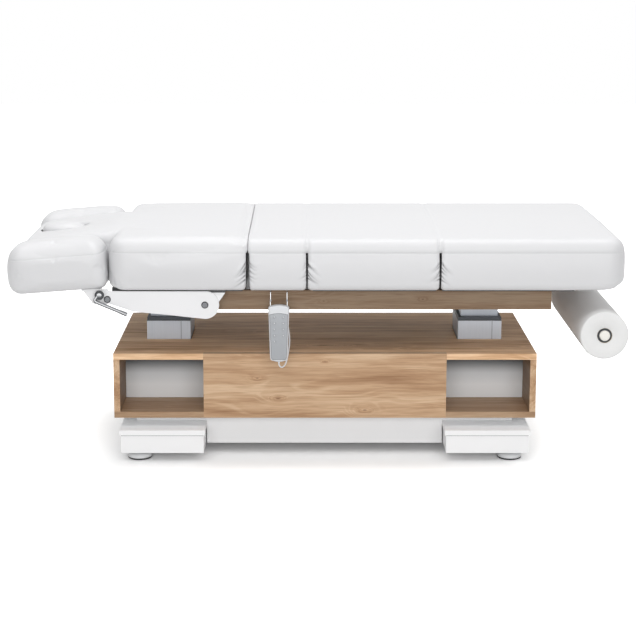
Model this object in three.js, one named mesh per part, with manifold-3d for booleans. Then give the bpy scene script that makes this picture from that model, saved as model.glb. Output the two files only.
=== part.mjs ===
// Spa bed with cabinet base, in millimetres, +Z up.
// X runs along the bed from the head end (negative) to the foot end (positive),
// the operator stands at negative Y, and the floor is at Z = 0.
import * as THREE from 'three';
import { mergeVertices } from 'three/addons/utils/BufferGeometryUtils.js';
import Module from 'manifold-3d';

const wasm = await Module();
wasm.setup();

// Driving dimensions: general
const gap = 0.3; // clearance between pieces that seat on each other
const overrun = 5; // how far every cutter passes the face it opens
const sheet = 3; // steel sheet of the base
const boltDiameter = 10;
const boltHeadDiameter = 16;
const boltHeadHeight = 4;

// Driving dimensions: base
const footDiscDiameter = 80;
const footRubberHeight = 6;
const footDiscHeight = 13;
const footStemDiameter = 16;
const footStemLength = 46;
const footInset = 55; // foot centre behind the end of its cross foot
const footOutset = 84; // foot centre outward of the column centre line
const crossFootLength = 268;
const crossFootDepth = 646;
const crossFootBottom = 30;
const crossFootHeight = 74;
const coverSkirt = 17;
const coverOverhang = 4;
const plinthInset = 64; // in from the cabinet's ends
const plinthDepth = 430;
const plinthTop = 139;
const crossFootOutset = 6; // cross foot centre outward of the column centre line

// Driving dimensions: cabinet
const cabinetLength = 1366;
const cabinetDepth = 587;
const cabinetHeight = 214;
const board = 20;
const nicheWidth = 270.5;
const nicheColumnGap = 22.5; // niche back clear of the column
const nicheBackThickness = 8;
const cutoutMargin = 3;

// Driving dimensions: lifting columns
const columnInset = 163; // cabinet end to the column's centre line
const columnWidth = 145;
const columnDepth = 190;
const columnWall = 4;
const columnTop = 417;
const collarHeight = 10;
const collarLip = 1;
const innerWidth = 124;
const innerDepth = 142;
const innerWall = 4;
const innerBottom = 92;
const nutHeight = 100;
const nutThickness = 16;
const grooveWidth = 5;
const grooveDepth = 1.5;
const grooveShare = 0.785;
const spindleDiameter = 18;
const spindleTop = 452;
const driveDiameter = 84;
const driveHeight = 92;
const driveFlange = 8;

// Driving dimensions: upper frame
const cushionBottom = 583;
const deckThickness = 12;
const deckInset = 41; // deck edge in from the mattress edge
const apronClearance = 0.7;
const apronHeight = 62;
const apronThickness = 18;
const apronInset = 15; // apron face in from the deck edge
const apronHeadInset = 83; // in from the cabinet's head end
const apronFootOutset = 36; // out from the cabinet's foot end
const beamDrop = 8;
const beamSize = 40;
const beamHeadInset = 4;
const crossDrop = 2;
const crossHeight = 48;
const crossWidth = 128;
const crossWall = 5;

// Driving dimensions: mattress
const mattressWidth = 772;
const mattressEdgeTop = 738;
const mattressCrown = 7;
const foldRadius = 24;
const sideRadius = 34;
const slit = 9;
const backFoldX = -244;
const thighFoldX = -58;
const kneeFoldX = 360;
const mattressFootOutset = 265; // mattress end out from the cabinet's foot end
const shoulderOutset = 2; // shoulders out from the cabinet's head end
const headLength = 314;
const headInset = 169; // head edge in from the mattress edge
const headDrop = 42;
const seamDrop = 38;
const seamWidth = 5;
const seamDepth = 3;
const sideSwell = 4;
const headSwell = 1.5;
const bottomRadius = 10;
const footBottomRadius = 30;
const foldCornerRadius = 10;
const shoulderCornerRadius = 46;
const footCornerRadius = 36;
const headCornerRadius = 30;
const neckOverlap = 60;

// Driving dimensions: face hole
const faceHoleReach = 189; // from the shoulders
const faceHoleLength = 155;
const faceHoleWidth = 105;
const plugDepth = 100;
const plugDome = 14;
const plugGap = 1;
const deckHoleMargin = 14;

// Driving dimensions: section hinges and levers
const lugRadius = 9;
const lugThickness = 6;
const postThickness = 8;
const postInset = 42; // hinge posts in from the apron face
const hingePin = 8;
const pinClearance = 0.3;
const pocketMargin = 1.5;
const leverThickness = 10;
const leverWall = 7; // steel left round the lever's slot
const drivePin = 14;
const backTravel = 65; // degrees
const legTravel = 30; // degrees
const driveLineZ = 518;
const backLeverY = -60;
const legLeverY = 60;
const slotPlay = 6.5; // room for the pin's straight path against the lever's arc
const backLeverRoot = 70;
const legLeverRoot = 70;
const leverRootInset = 4;

// Driving dimensions: actuators
const rodDiameter = 22;
const housingWidth = 50;
const housingHeight = 56;
const boreClearance = 0.5;
const backHousingFront = -58;
const legHousingFront = -190;
const rodEngagement = 80; // rod left in its housing at full stroke
const motorDiameter = 50;
const motorLength = 110;
const gearLength = 60;
const forkThickness = 6;
const forkBridge = 12;
const forkClearance = 0.6;
const forkReach = 38; // drive pin to the fork's bridge, clear of the lever at any angle
const pinHeadThickness = 3;

// Driving dimensions: leg stay
const stayPivotZ = 555;
const stayY = 190;
const stayThickness = 8;
const stayHeight = 22;
const stayPin = 12;
const stayLugRadius = 11;
const stayLugThickness = 6;
const stayLugWidth = 36;

// Driving dimensions: armrests, all at the front side and mirrored for the rear
const padHeadGap = 5; // pad clear of the head portion
const padLength = 314.7;
const padThickness = 156;
const padSeamDrop = 40;
const padCrown = 8;
const padTilt = 4.5; // degrees, head end down
const padShoulderGap = 4;
const padBottomAtFoot = 586;
const padHeadRadius = 46;
const padFootRadius = 18;
const padSideRadius = 32;
const armPlateThickness = 6;
const armPlateStandOff = 21; // inner face out from the deck edge
const armPivotReach = 305; // these reaches run from the shoulders
const armPivotZ = 532;
const armEndRadius = 45;
const armPlateLength = 301;
const armNoseRise = 44;
const armNoseRun = 28;
const armNoseDrop = 15;
const armLowerRise = 21;
const armLowerRun = 228;
const padPivotReach = -2;
const padPivotZ = 550;
const bracketThickness = 6;
const bracketLength = 82;
const bracketDrop = 22;
const bracketRadius = 13;
const flangeWidth = 60;
const flangeThickness = 5;
const knobReach = -26;
const knobZ = 565;
const knobDiameter = 30;
const knobThickness = 9;
const leverRodDiameter = 9;
const leverRodLength = 112;
const leverRodAngle = -23; // degrees
const leverSleeveDiameter = 11;
const leverSleeveLength = 24;
const leverRootDrop = 19;
const leverStandOff = 2.8; // release lever clear of the arm plate
const leverRootSetback = 17;
const baseBracketHeadReach = 253;
const baseBracketFootReach = 369;

// Driving dimensions: handset, hanger, cord and control box
const handsetX = -147;
const handsetStandOff = 20; // handset's back out from the apron
const handsetThickness = 26;
const handsetWidth = 67;
const handsetFootWidth = 56;
const handsetTop = 532;
const handsetHeight = 182;
const handsetArch = 4;
const handsetBevel = 5;
const handsetCorner = 12;
const keypadDepth = 1.2;
const keypadMargin = 5;
const keypadDrop = 27;
const keySpacingX = 28;
const keySpacingZ = 20;
const keyDiameter = 8;
const keyHeight = 0.8;
const keyRows = 5;
const keyFirstDrop = 38;
const reliefDiameter = 9;
const reliefLength = 7;
const wireDiameter = 3;
const wireSpacing = 52;
const wireBend = 3;
const wireSeat = 0.6; // between the wire and the apron that it hooks over
const cordDiameter = 4.5;
const cordHoleMargin = 1.5;
const cordEntryX = -140;
const cordFromRelief = [ // offsets from the end of the handset's strain relief
  [0, 0, -0.3],
  [0, 0, -6],
  [4, 1.5, -14],
  [11, 6, -16.5],
  [19, 12, -11],
  [25, 18, 5],
  [31, 21, 39],
  [33.5, 21.5, 65],
];
const cordAtEntry = [ // offsets from the hole's mouth in the front apron
  [23, -11, -70],
  [12, -11, -32],
  [3, -10.5, -10],
  [0, -6, -1],
  [0, 4, 0],
  [0, 30, 0],
];
const boxLength = 160;
const boxDepth = 60;
const boxHeight = 45;
const boxBottom = 500;
const boxHeadX = -228;

// Driving dimensions: paper roll and its holder
const rollOutset = 202; // out from the cabinet's foot end
const rollZ = 431;
const rollDiameter = 153.5;
const rollLength = 600;
const rollFrontY = -365;
const coreDiameter = 48;
const coreGap = 0.5;
const hubLength = 24;
const hubInset = 40;
const holderRod = 16;
const holderCapDiameter = 33;
const holderCapThickness = 7;
const holderPlate = 70;
const holderPlateThickness = 5;
const holderPlateZ = 539;
const holderBend = 34;
const holderRollGap = 22;

// Sizes that follow
const half = (size) => size / 2;
const radians = (degrees) => THREE.MathUtils.degToRad(degrees);
const cabinetEndX = half(cabinetLength);
const columnSpacing = cabinetLength - 2 * columnInset;
const plinthLength = cabinetLength - 2 * plinthInset;
const deckWidth = mattressWidth - 2 * deckInset;
const headWidth = mattressWidth - 2 * headInset;
const apronWidth = deckWidth - 2 * apronInset;
const apronHeadEnd = -cabinetEndX + apronHeadInset;
const apronFootEnd = cabinetEndX + apronFootOutset;
const beamHeadEnd = apronHeadEnd + beamHeadInset;
const footEndX = cabinetEndX + mattressFootOutset;
const shoulderX = -cabinetEndX - shoulderOutset;
const headEndX = shoulderX - headLength;
const faceHoleX = shoulderX - faceHoleReach;
const postY = half(apronWidth) - postInset;
const padInnerY = half(headWidth) + padHeadGap;
const padFootEnd = shoulderX - padShoulderGap;
const armPlateY = half(deckWidth) + armPlateStandOff;
const armPivotX = shoulderX + armPivotReach;
const padPivotX = shoulderX + padPivotReach;
const knobX = shoulderX + knobReach;
const baseBracketHead = shoulderX + baseBracketHeadReach;
const baseBracketFoot = shoulderX + baseBracketFootReach;
const handsetBackY = -half(apronWidth) - handsetStandOff;
const rollX = cabinetEndX + rollOutset;
const cabinetBottom = plinthTop + gap;
const cabinetTop = cabinetBottom + cabinetHeight;
const crossFootTop = crossFootBottom + crossFootHeight - gap;
const coverTop = crossFootBottom + crossFootHeight + sheet;
const coverBottom = coverTop - coverSkirt;
const deckTop = cushionBottom - gap;
const deckBottom = deckTop - deckThickness;
const apronTop = deckBottom - apronClearance;
const apronBottom = apronTop - apronHeight;
const beamTop = apronTop - beamDrop;
const beamBottom = beamTop - beamSize;
const beamOuterY = half(apronWidth) - apronThickness - gap;
const beamInnerY = beamOuterY - beamSize;
const beamFootEnd = apronFootEnd - apronThickness - gap;
const crossTop = beamTop - crossDrop;
const crossBottom = crossTop - crossHeight;
const innerTop = crossBottom - gap;
const hingeZ = mattressEdgeTop - foldRadius;
const kneeZ = deckBottom + half(deckThickness);
const mattressSideY = half(mattressWidth);
const stayDrop = hingeZ - stayPivotZ;
const driveRadius = hingeZ - driveLineZ;

// Finishes seen in the photograph
const finishes = {
  leatherette: { color: 0xf1f1f2, roughness: 0.5, metalness: 0 },
  wood: { color: 0xc49a6c, roughness: 0.6, metalness: 0 },
  whiteSteel: { color: 0xeeeeef, roughness: 0.4, metalness: 0.1 },
  nichePanel: { color: 0xc4c7c9, roughness: 0.5, metalness: 0 },
  aluminium: { color: 0xb2b4b8, roughness: 0.4, metalness: 0.7 },
  blackSteel: { color: 0x2b2d30, roughness: 0.5, metalness: 0.4 },
  chrome: { color: 0xcfd2d6, roughness: 0.12, metalness: 1 },
  whitePlastic: { color: 0xe6e8ea, roughness: 0.4, metalness: 0 },
  greyPlastic: { color: 0xb9c0c5, roughness: 0.45, metalness: 0 },
  paper: { color: 0xf6f6f4, roughness: 0.9, metalness: 0 },
};

// Solids: closed geometries in bed coordinates
function toSolid(geometry) {
  const bare = geometry.clone();
  bare.deleteAttribute('normal');
  bare.deleteAttribute('uv');
  const merged = mergeVertices(bare);
  const vertProperties = new Float32Array(merged.attributes.position.array);
  const triVerts = new Uint32Array(merged.index.array);
  return new wasm.Manifold(new wasm.Mesh({ numProp: 3, vertProperties, triVerts }));
}

function toGeometry(solid) {
  const { vertProperties, triVerts } = solid.getMesh();
  const geometry = new THREE.BufferGeometry();
  geometry.setAttribute('position', new THREE.BufferAttribute(new Float32Array(vertProperties), 3));
  geometry.setIndex(new THREE.BufferAttribute(new Uint32Array(triVerts), 1));
  return geometry;
}

function join(...geometries) {
  return toGeometry(geometries.map(toSolid).reduce((whole, piece) => whole.add(piece)));
}

function cut(geometry, ...cutters) {
  const start = toSolid(geometry);
  return toGeometry(cutters.map(toSolid).reduce((rest, cutter) => rest.subtract(cutter), start));
}

// A box between two values on each axis
function block([x0, x1], [y0, y1], [z0, z1]) {
  const geometry = new THREE.BoxGeometry(x1 - x0, Math.abs(y1 - y0), z1 - z0);
  return geometry.translate(half(x0 + x1), half(y0 + y1), half(z0 + z1));
}

// A flat outline drawn in X and Z, as thick as the two Y values are apart
function plateAlongY(shape, yA, yB) {
  const geometry = new THREE.ExtrudeGeometry(shape, {
    depth: Math.abs(yB - yA),
    bevelEnabled: false,
    curveSegments: 8,
  });
  return geometry.rotateX(Math.PI / 2).translate(0, Math.max(yA, yB), 0);
}

function plateAlongZ(shape, z0, z1) {
  const depth = z1 - z0;
  const geometry = new THREE.ExtrudeGeometry(shape, { depth, bevelEnabled: false, curveSegments: 8 });
  return geometry.translate(0, 0, z0);
}

function rodAlongY(diameter, yA, yB, x, z, sides = 16) {
  const radius = half(diameter);
  const geometry = new THREE.CylinderGeometry(radius, radius, Math.abs(yB - yA), sides);
  return geometry.translate(x, half(yA + yB), z);
}

function rodAlongX(diameter, x0, x1, y, z, sides = 16) {
  const geometry = new THREE.CylinderGeometry(half(diameter), half(diameter), x1 - x0, sides);
  return geometry.rotateZ(Math.PI / 2).translate(half(x0 + x1), y, z);
}

function rodAlongZ(diameter, z0, z1, x, y, sides = 16) {
  const geometry = new THREE.CylinderGeometry(half(diameter), half(diameter), z1 - z0, sides);
  return geometry.rotateX(Math.PI / 2).translate(x, y, half(z0 + z1));
}

// A round rod between two points
function rodBetween(diameter, from, to, sides = 16) {
  const path = new THREE.LineCurve3(from, to);
  return new THREE.ExtrudeGeometry(circleShape(diameter, sides), {
    steps: 1,
    extrudePath: path,
    curveSegments: half(sides),
  });
}

function circleShape(diameter, sides) {
  const points = [];
  for (let i = 0; i < sides; i += 1) {
    const angle = (i / sides) * 2 * Math.PI;
    points.push(new THREE.Vector2(Math.cos(angle), Math.sin(angle)).multiplyScalar(half(diameter)));
  }
  return new THREE.Shape(points);
}

function polygon(points) {
  return new THREE.Shape(points.map(([x, y]) => new THREE.Vector2(x, y)));
}

function rectangleShape(length, width, x = 0, y = 0) {
  return polygon([
    [x - half(length), y - half(width)],
    [x + half(length), y - half(width)],
    [x + half(length), y + half(width)],
    [x - half(length), y + half(width)],
  ]);
}

function ellipseShape(length, width, x, y, sides = 32) {
  const points = [];
  for (let i = 0; i < sides; i += 1) {
    const angle = (i / sides) * 2 * Math.PI;
    points.push([x + half(length) * Math.cos(angle), y + half(width) * Math.sin(angle)]);
  }
  return polygon(points);
}

// Lofted soft forms: rings of equal point counts, from the bottom up
function loft(rings) {
  const count = rings[0].length;
  const positions = rings.flat().flatMap((point) => [point.x, point.y, point.z]);
  const index = [];
  for (let level = 0; level + 1 < rings.length; level += 1) {
    for (let i = 0; i < count; i += 1) {
      const next = (i + 1) % count;
      const a = level * count + i;
      const b = level * count + next;
      index.push(a, b, b + count, a, b + count, a + count);
    }
  }
  const bottomCentre = positions.length / 3;
  [rings[0], rings.at(-1)].forEach((ring) => {
    const centre = ring.reduce((sum, point) => sum.add(point), new THREE.Vector3()).divideScalar(count);
    positions.push(centre.x, centre.y, centre.z);
  });
  const topStart = (rings.length - 1) * count;
  for (let i = 0; i < count; i += 1) {
    const next = (i + 1) % count;
    index.push(bottomCentre, next, i);
    index.push(bottomCentre + 1, topStart + i, topStart + next);
  }
  const geometry = new THREE.BufferGeometry();
  geometry.setAttribute('position', new THREE.Float32BufferAttribute(positions, 3));
  geometry.setIndex(index);
  return geometry;
}

// A round wire or tube through corners, each corner rounded by a bend
function bentRod(corners, bend, diameter, sides) {
  const bendSteps = 4;
  const route = [corners[0]];
  for (let i = 1; i + 1 < corners.length; i += 1) {
    const before = corners[i].clone().add(corners[i - 1].clone().sub(corners[i]).setLength(bend));
    const after = corners[i].clone().add(corners[i + 1].clone().sub(corners[i]).setLength(bend));
    route.push(...new THREE.QuadraticBezierCurve3(before, corners[i], after).getPoints(bendSteps));
  }
  route.push(corners.at(-1));
  let tangent = route[1].clone().sub(route[0]).normalize();
  const normal = new THREE.Vector3(1, 0, 0);
  if (Math.abs(tangent.x) > half(1)) {
    normal.set(0, 1, 0);
  }
  normal.addScaledVector(tangent, -normal.dot(tangent)).normalize();
  const rings = route.map((point, i) => {
    const back = route[Math.max(i - 1, 0)];
    const ahead = route[Math.min(i + 1, route.length - 1)];
    const direction = ahead.clone().sub(back).normalize();
    normal.applyQuaternion(new THREE.Quaternion().setFromUnitVectors(tangent, direction)).normalize();
    tangent = direction;
    const binormal = tangent.clone().cross(normal);
    return Array.from({ length: sides }, (_, side) => {
      const angle = (side / sides) * 2 * Math.PI;
      return point.clone()
        .addScaledVector(normal, half(diameter) * Math.cos(angle))
        .addScaledVector(binormal, half(diameter) * Math.sin(angle));
    });
  });
  return loft(rings);
}

// A level ring: a rectangle with its own corner radius at the head and foot end
function roundedRing(x0, x1, y0, y1, headRadius, footRadius, z, cornerSteps = 4) {
  const corners = [
    { x: x1, y: y1, radius: footRadius, start: 0 },
    { x: x0, y: y1, radius: headRadius, start: 1 },
    { x: x0, y: y0, radius: headRadius, start: 2 },
    { x: x1, y: y0, radius: footRadius, start: 3 },
  ];
  const points = [];
  corners.forEach(({ x, y, radius, start }) => {
    const centreX = x - Math.sign(x - half(x0 + x1)) * radius;
    const centreY = y - Math.sign(y - half(y0 + y1)) * radius;
    for (let step = 0; step <= cornerSteps; step += 1) {
      const angle = (start + step / cornerSteps) * (Math.PI / 2);
      const turn = new THREE.Vector2(Math.cos(angle), Math.sin(angle)).multiplyScalar(radius);
      points.push(new THREE.Vector3(centreX + turn.x, centreY + turn.y, z));
    }
  });
  return points;
}

// How far a rounded top edge has drawn in at a height
function edgeInset(z, edgeTop, radius) {
  const rise = z - (edgeTop - radius);
  return rise <= 0 ? 0 : radius - Math.sqrt(Math.max(radius * radius - rise * rise, 0));
}

// Upholstered block: rounded bottom, swollen sides, drawn-in seam, rounded top edge and crown
function cushionForm(form) {
  const { x, y, bottom, edgeTop, crown, swell, headEdge, footEdge, sideEdge, headCorner, footCorner } = form;
  const seam = edgeTop - (form.seamDrop ?? seamDrop);
  const rings = [];
  const addRing = (z, sideIn, headIn, footIn) => {
    const shrink = Math.min(sideIn, headIn, footIn);
    rings.push(roundedRing(x[0] + headIn, x[1] - footIn, y[0] + sideIn, y[1] - sideIn,
      Math.max(headCorner - shrink, gap), Math.max(footCorner - shrink, gap), z));
  };
  const bottomShares = [0, 0.3, 1];
  bottomShares.forEach((share) => {
    const inset = bottomRadius * (1 - Math.sqrt(1 - (1 - share) ** 2));
    addRing(bottom + bottomRadius * share, inset, inset, inset);
  });
  const swellBottom = bottom + bottomRadius;
  const swellShares = [0.35, 0.7];
  swellShares.forEach((share) => {
    addRing(swellBottom + (seam - seamWidth - swellBottom) * share, -swell, 0, 0);
  });
  addRing(seam - half(seamWidth), 0, 0, 0);
  addRing(seam, seamDepth, form.headFold ? 0 : seamDepth, form.footFold ? 0 : seamDepth);
  addRing(seam + half(seamWidth), edgeInset(seam + half(seamWidth), edgeTop, sideEdge), 0, 0);
  const turnShares = [0.45, 0.7, 0.87, 0.97, 1];
  turnShares.forEach((share) => {
    const z = seam + (edgeTop - seam) * share;
    const insets = [sideEdge, headEdge, footEdge].map((radius) => edgeInset(z, edgeTop, radius));
    addRing(z, ...insets);
  });
  const crownShares = [0.2, 0.5, 0.85];
  const halfLength = half(x[1] - x[0]);
  const halfWidth = half(y[1] - y[0]);
  crownShares.forEach((share) => {
    const rise = crown * (1 - (1 - share) ** 2);
    const sideIn = sideEdge + (halfWidth - sideEdge) * share;
    const headIn = headEdge + (halfLength - headEdge) * share;
    const footIn = footEdge + (halfLength - footEdge) * share;
    addRing(edgeTop + rise, sideIn, headIn, footIn);
  });
  return loft(rings);
}

// The assembly
const bed = new THREE.Group();

function addPart(name, geometry, finish) {
  const mesh = new THREE.Mesh(geometry, new THREE.MeshStandardMaterial(finishes[finish]));
  mesh.name = name;
  bed.add(mesh);
  return mesh;
}

const ends = [
  { end: 'left', along: -1 },
  { end: 'right', along: 1 },
];
const sides = [
  { side: 'front', across: -1 },
  { side: 'rear', across: 1 },
];

// Base
const columnX = (along) => along * half(columnSpacing);
const crossFootX = (along) => along * (half(columnSpacing) + crossFootOutset);
const span = (centre, size) => [centre - half(size), centre + half(size)];

function columnCutter(along, margin, z0, z1) {
  const shape = rectangleShape(columnWidth + 2 * margin, columnDepth + 2 * margin, columnX(along));
  return plateAlongZ(shape, z0, z1);
}

function buildPlinth() {
  const outer = block(span(0, plinthLength), span(0, plinthDepth), [crossFootBottom, plinthTop]);
  const hollow = block(
    span(0, plinthLength - 2 * sheet),
    span(0, plinthDepth - 2 * sheet),
    [crossFootBottom - overrun, plinthTop - sheet],
  );
  const notches = ends.map(({ along }) => block(
    span(crossFootX(along), crossFootLength + 2 * coverOverhang + 2 * gap),
    span(0, plinthDepth + 2 * overrun),
    [crossFootBottom - overrun, coverTop + gap],
  ));
  const outerEnds = ends.map(({ along }) => {
    const innerX = crossFootX(along);
    const outerX = along * (half(plinthLength) + overrun);
    const range = along < 0 ? [outerX, innerX] : [innerX, outerX];
    return block(range, span(0, plinthDepth + 2 * overrun), [crossFootBottom - overrun, coverTop + gap]);
  });
  const holes = ends.map(({ along }) => columnCutter(along, cutoutMargin, plinthTop - sheet - overrun,
    plinthTop + overrun));
  return cut(outer, hollow, ...notches, ...outerEnds, ...holes);
}

const footX = (along) => along * (half(columnSpacing) + footOutset);
const footY = (across) => across * (half(crossFootDepth) - footInset);

function buildCrossFoot(along) {
  const x = span(crossFootX(along), crossFootLength);
  const outer = block(x, span(0, crossFootDepth), [crossFootBottom, crossFootTop]);
  const hollow = block(
    [x[0] + sheet, x[1] - sheet],
    span(0, crossFootDepth - 2 * sheet),
    [crossFootBottom + sheet, crossFootTop + overrun],
  );
  const stemHoles = sides.map(({ across }) => rodAlongZ(footStemDiameter + 2 * gap,
    crossFootBottom - overrun, crossFootBottom + sheet + overrun, footX(along), footY(across)));
  return cut(outer, hollow, ...stemHoles);
}

function buildCrossFootCover(along) {
  const centre = crossFootX(along);
  const length = crossFootLength + 2 * coverOverhang;
  const depth = crossFootDepth + 2 * coverOverhang;
  const outer = block(span(centre, length), span(0, depth), [coverBottom, coverTop]);
  const hollow = block(
    span(centre, length - 2 * sheet),
    span(0, depth - 2 * sheet),
    [coverBottom - overrun, coverTop - sheet],
  );
  const hole = columnCutter(along, cutoutMargin, coverTop - sheet - overrun, coverTop + overrun);
  return cut(outer, hollow, hole);
}

// Levelling foot: rubber rim, disc and threaded stem as one turned piece
function buildFoot(along, across) {
  const rimRadius = half(footDiscDiameter);
  const stemRadius = half(footStemDiameter);
  const discTop = footRubberHeight + footDiscHeight;
  const profileShares = { rubber: 0.94, disc: 0.97, shoulder: 0.8, neck: 0.3 };
  const profile = [
    [0, 0],
    [rimRadius * profileShares.rubber, 0],
    [rimRadius, half(footRubberHeight)],
    [rimRadius, footRubberHeight],
    [rimRadius * profileShares.disc, footRubberHeight],
    [rimRadius * profileShares.disc, discTop - half(footDiscHeight)],
    [rimRadius * profileShares.shoulder, discTop],
    [rimRadius * profileShares.neck, discTop + gap],
    [stemRadius, discTop + footRubberHeight],
    [stemRadius, discTop + footStemLength],
    [0, discTop + footStemLength],
  ].map(([r, z]) => new THREE.Vector2(r, z));
  const geometry = new THREE.LatheGeometry(profile, 20);
  return geometry.rotateX(Math.PI / 2).translate(footX(along), footY(across), 0);
}

addPart('base_plinth', buildPlinth(), 'whiteSteel');
ends.forEach(({ end, along }) => {
  addPart(`cross_foot_${end}`, buildCrossFoot(along), 'whiteSteel');
  addPart(`cross_foot_cover_${end}`, buildCrossFootCover(along), 'whiteSteel');
  sides.forEach(({ side, across }) => {
    addPart(`levelling_foot_${side}_${end}`, buildFoot(along, across), 'whitePlastic');
  });
});

// Cabinet
const innerHalfLength = half(cabinetLength) - board;
const partitionX = innerHalfLength - nicheWidth;
const cabinetFrontY = -half(cabinetDepth);
const nicheBackY = -half(columnDepth) - nicheColumnGap - nicheBackThickness;
const rearPanelY = half(cabinetDepth) - board;
const insideBottom = cabinetBottom + board + gap;
const insideTop = cabinetTop - board - gap;

// Top and bottom boards are set back in the middle, where the front panel laps their edge
function buildLevelBoard(z) {
  const slab = block(span(0, cabinetLength), [cabinetFrontY, rearPanelY - gap], z);
  const notch = block(
    span(0, 2 * (partitionX + gap)),
    [cabinetFrontY - overrun, cabinetFrontY + board + gap],
    [z[0] - overrun, z[1] + overrun],
  );
  const holes = ends.map(({ along }) => columnCutter(along, cutoutMargin, z[0] - overrun, z[1] + overrun));
  return cut(slab, notch, ...holes);
}

addPart('cabinet_top', buildLevelBoard([cabinetTop - board, cabinetTop]), 'wood');
addPart('cabinet_bottom', buildLevelBoard([cabinetBottom, cabinetBottom + board]), 'wood');
addPart('cabinet_front_panel', block(
  span(0, 2 * partitionX),
  [cabinetFrontY, cabinetFrontY + board],
  [cabinetBottom, cabinetTop],
), 'wood');
addPart('cabinet_rear_panel', block(
  span(0, cabinetLength),
  [rearPanelY, half(cabinetDepth)],
  [cabinetBottom, cabinetTop],
), 'wood');
ends.forEach(({ end, along }) => {
  const sideX = along * (half(cabinetLength) - half(board));
  const wallX = along * (partitionX - half(board));
  const backX = along * (innerHalfLength - half(nicheWidth));
  addPart(`cabinet_side_${end}`, block(
    span(sideX, board),
    [cabinetFrontY, rearPanelY - gap],
    [insideBottom, insideTop],
  ), 'wood');
  addPart(`cabinet_partition_${end}`, block(
    span(wallX, board),
    [cabinetFrontY + board + gap, rearPanelY - gap],
    [insideBottom, insideTop],
  ), 'wood');
  addPart(`niche_back_${end}`, block(
    span(backX, nicheWidth - 2 * gap),
    [nicheBackY, nicheBackY + nicheBackThickness],
    [insideBottom, insideTop],
  ), 'nichePanel');
});

// Lifting columns
const columnBottom = crossFootBottom + sheet + gap;

function tubeShape(width, depth, wall, x) {
  const shape = rectangleShape(width, depth, x);
  shape.holes.push(rectangleShape(width - 2 * wall, depth - 2 * wall, x));
  return shape;
}

// Outer tube with a shallow groove down its front and rear, and the collar on its rim
function buildOuterColumn(along) {
  const x = columnX(along);
  const tube = plateAlongZ(tubeShape(columnWidth, columnDepth, columnWall, x), columnBottom, columnTop);
  const grooveX = x - half(columnWidth) + columnWidth * grooveShare;
  const grooves = sides.map(({ across }) => block(
    span(grooveX, grooveWidth),
    span(across * half(columnDepth), 2 * grooveDepth),
    [columnBottom - overrun, columnTop + overrun],
  ));
  const collarSize = { width: columnWidth - 2 * collarLip, depth: columnDepth - 2 * collarLip };
  const collar = rectangleShape(collarSize.width, collarSize.depth, x);
  collar.holes.push(rectangleShape(innerWidth + 2 * gap, innerDepth + 2 * gap, x));
  const collarPiece = plateAlongZ(collar, columnTop - gap, columnTop + collarHeight);
  return join(cut(tube, ...grooves), collarPiece);
}

function buildInnerColumn(along) {
  const x = columnX(along);
  const tube = plateAlongZ(tubeShape(innerWidth, innerDepth, innerWall, x), innerBottom, innerTop);
  const nut = block(
    span(x, innerWidth - innerWall),
    span(0, innerDepth - innerWall),
    span(innerBottom + nutHeight, nutThickness),
  );
  const bore = rodAlongZ(spindleDiameter + 2 * gap, innerBottom, innerTop, x, 0);
  return join(tube, cut(nut, bore));
}

// Motor on its flange, and the spindle that stands up inside the inner tube
function buildLiftDrive(along) {
  const x = columnX(along);
  const motorTop = columnBottom + driveHeight;
  const seat = columnBottom + driveFlange;
  const flange = block(
    span(x, innerWidth - 2 * innerWall - 2 * gap),
    span(0, innerDepth - 2 * innerWall - 2 * gap),
    [columnBottom, seat],
  );
  const motor = rodAlongZ(driveDiameter, seat - gap, motorTop, x, 0);
  const spindle = rodAlongZ(spindleDiameter, motorTop - gap, spindleTop, x, 0, 16);
  return join(flange, motor, spindle);
}

ends.forEach(({ end, along }) => {
  addPart(`column_outer_${end}`, buildOuterColumn(along), 'aluminium');
  addPart(`column_inner_${end}`, buildInnerColumn(along), 'aluminium');
  addPart(`lift_drive_${end}`, buildLiftDrive(along), 'blackSteel');
});

// Upper frame
const riserInset = 12;
const riserWidth = beamSize - 2 * riserInset + gap;

// Hinge post: a plate on the beam, its pin reaching inward through the lug
function buildHingePost(foldX, across) {
  const width = 2 * lugRadius;
  const post = block(
    span(foldX, width),
    span(across * postY, postThickness),
    [beamTop - gap, hingeZ],
  );
  const eye = rodAlongY(width, across * (postY - half(postThickness)), across * (postY + half(postThickness)),
    foldX, hingeZ);
  const pinEnd = postY - half(postThickness) - lugThickness - 2 * pinClearance - gap;
  const pin = rodAlongY(hingePin, across * postY, across * pinEnd, foldX, hingeZ, 16);
  return join(post, eye, pin);
}

function buildBeam(across) {
  const y = span(across * half(beamInnerY + beamOuterY), beamSize);
  const tube = block([beamHeadEnd, beamFootEnd], y, [beamBottom, beamTop]);
  const riser = block(
    [backFoldX + lugRadius + overrun, thighFoldX - lugRadius - overrun],
    span(across * half(beamInnerY + beamOuterY), riserWidth),
    [beamTop - gap, deckTop],
  );
  const pieces = [tube, riser, buildHingePost(backFoldX, across), buildHingePost(thighFoldX, across)];
  if (across > 0) {
    pieces.push(rodAlongY(stayPin, beamInnerY + gap, stayY - stayThickness - gap, thighFoldX, stayPivotZ));
  }
  return join(...pieces);
}

// Channel across the head of a column, open below at its ends
function buildCrossMember(along) {
  const x = columnX(along);
  const width = 2 * (beamInnerY - gap);
  const outer = block(span(x, crossWidth), span(0, width), [crossBottom, crossTop]);
  const hollows = sides.map(({ across }) => {
    const start = across * (half(innerDepth) + crossWall);
    const finish = across * (half(width) + overrun);
    return block(
      span(x, crossWidth - 2 * crossWall),
      [Math.min(start, finish), Math.max(start, finish)],
      [crossBottom - overrun, crossTop - crossWall],
    );
  });
  return cut(outer, ...hollows);
}

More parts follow.
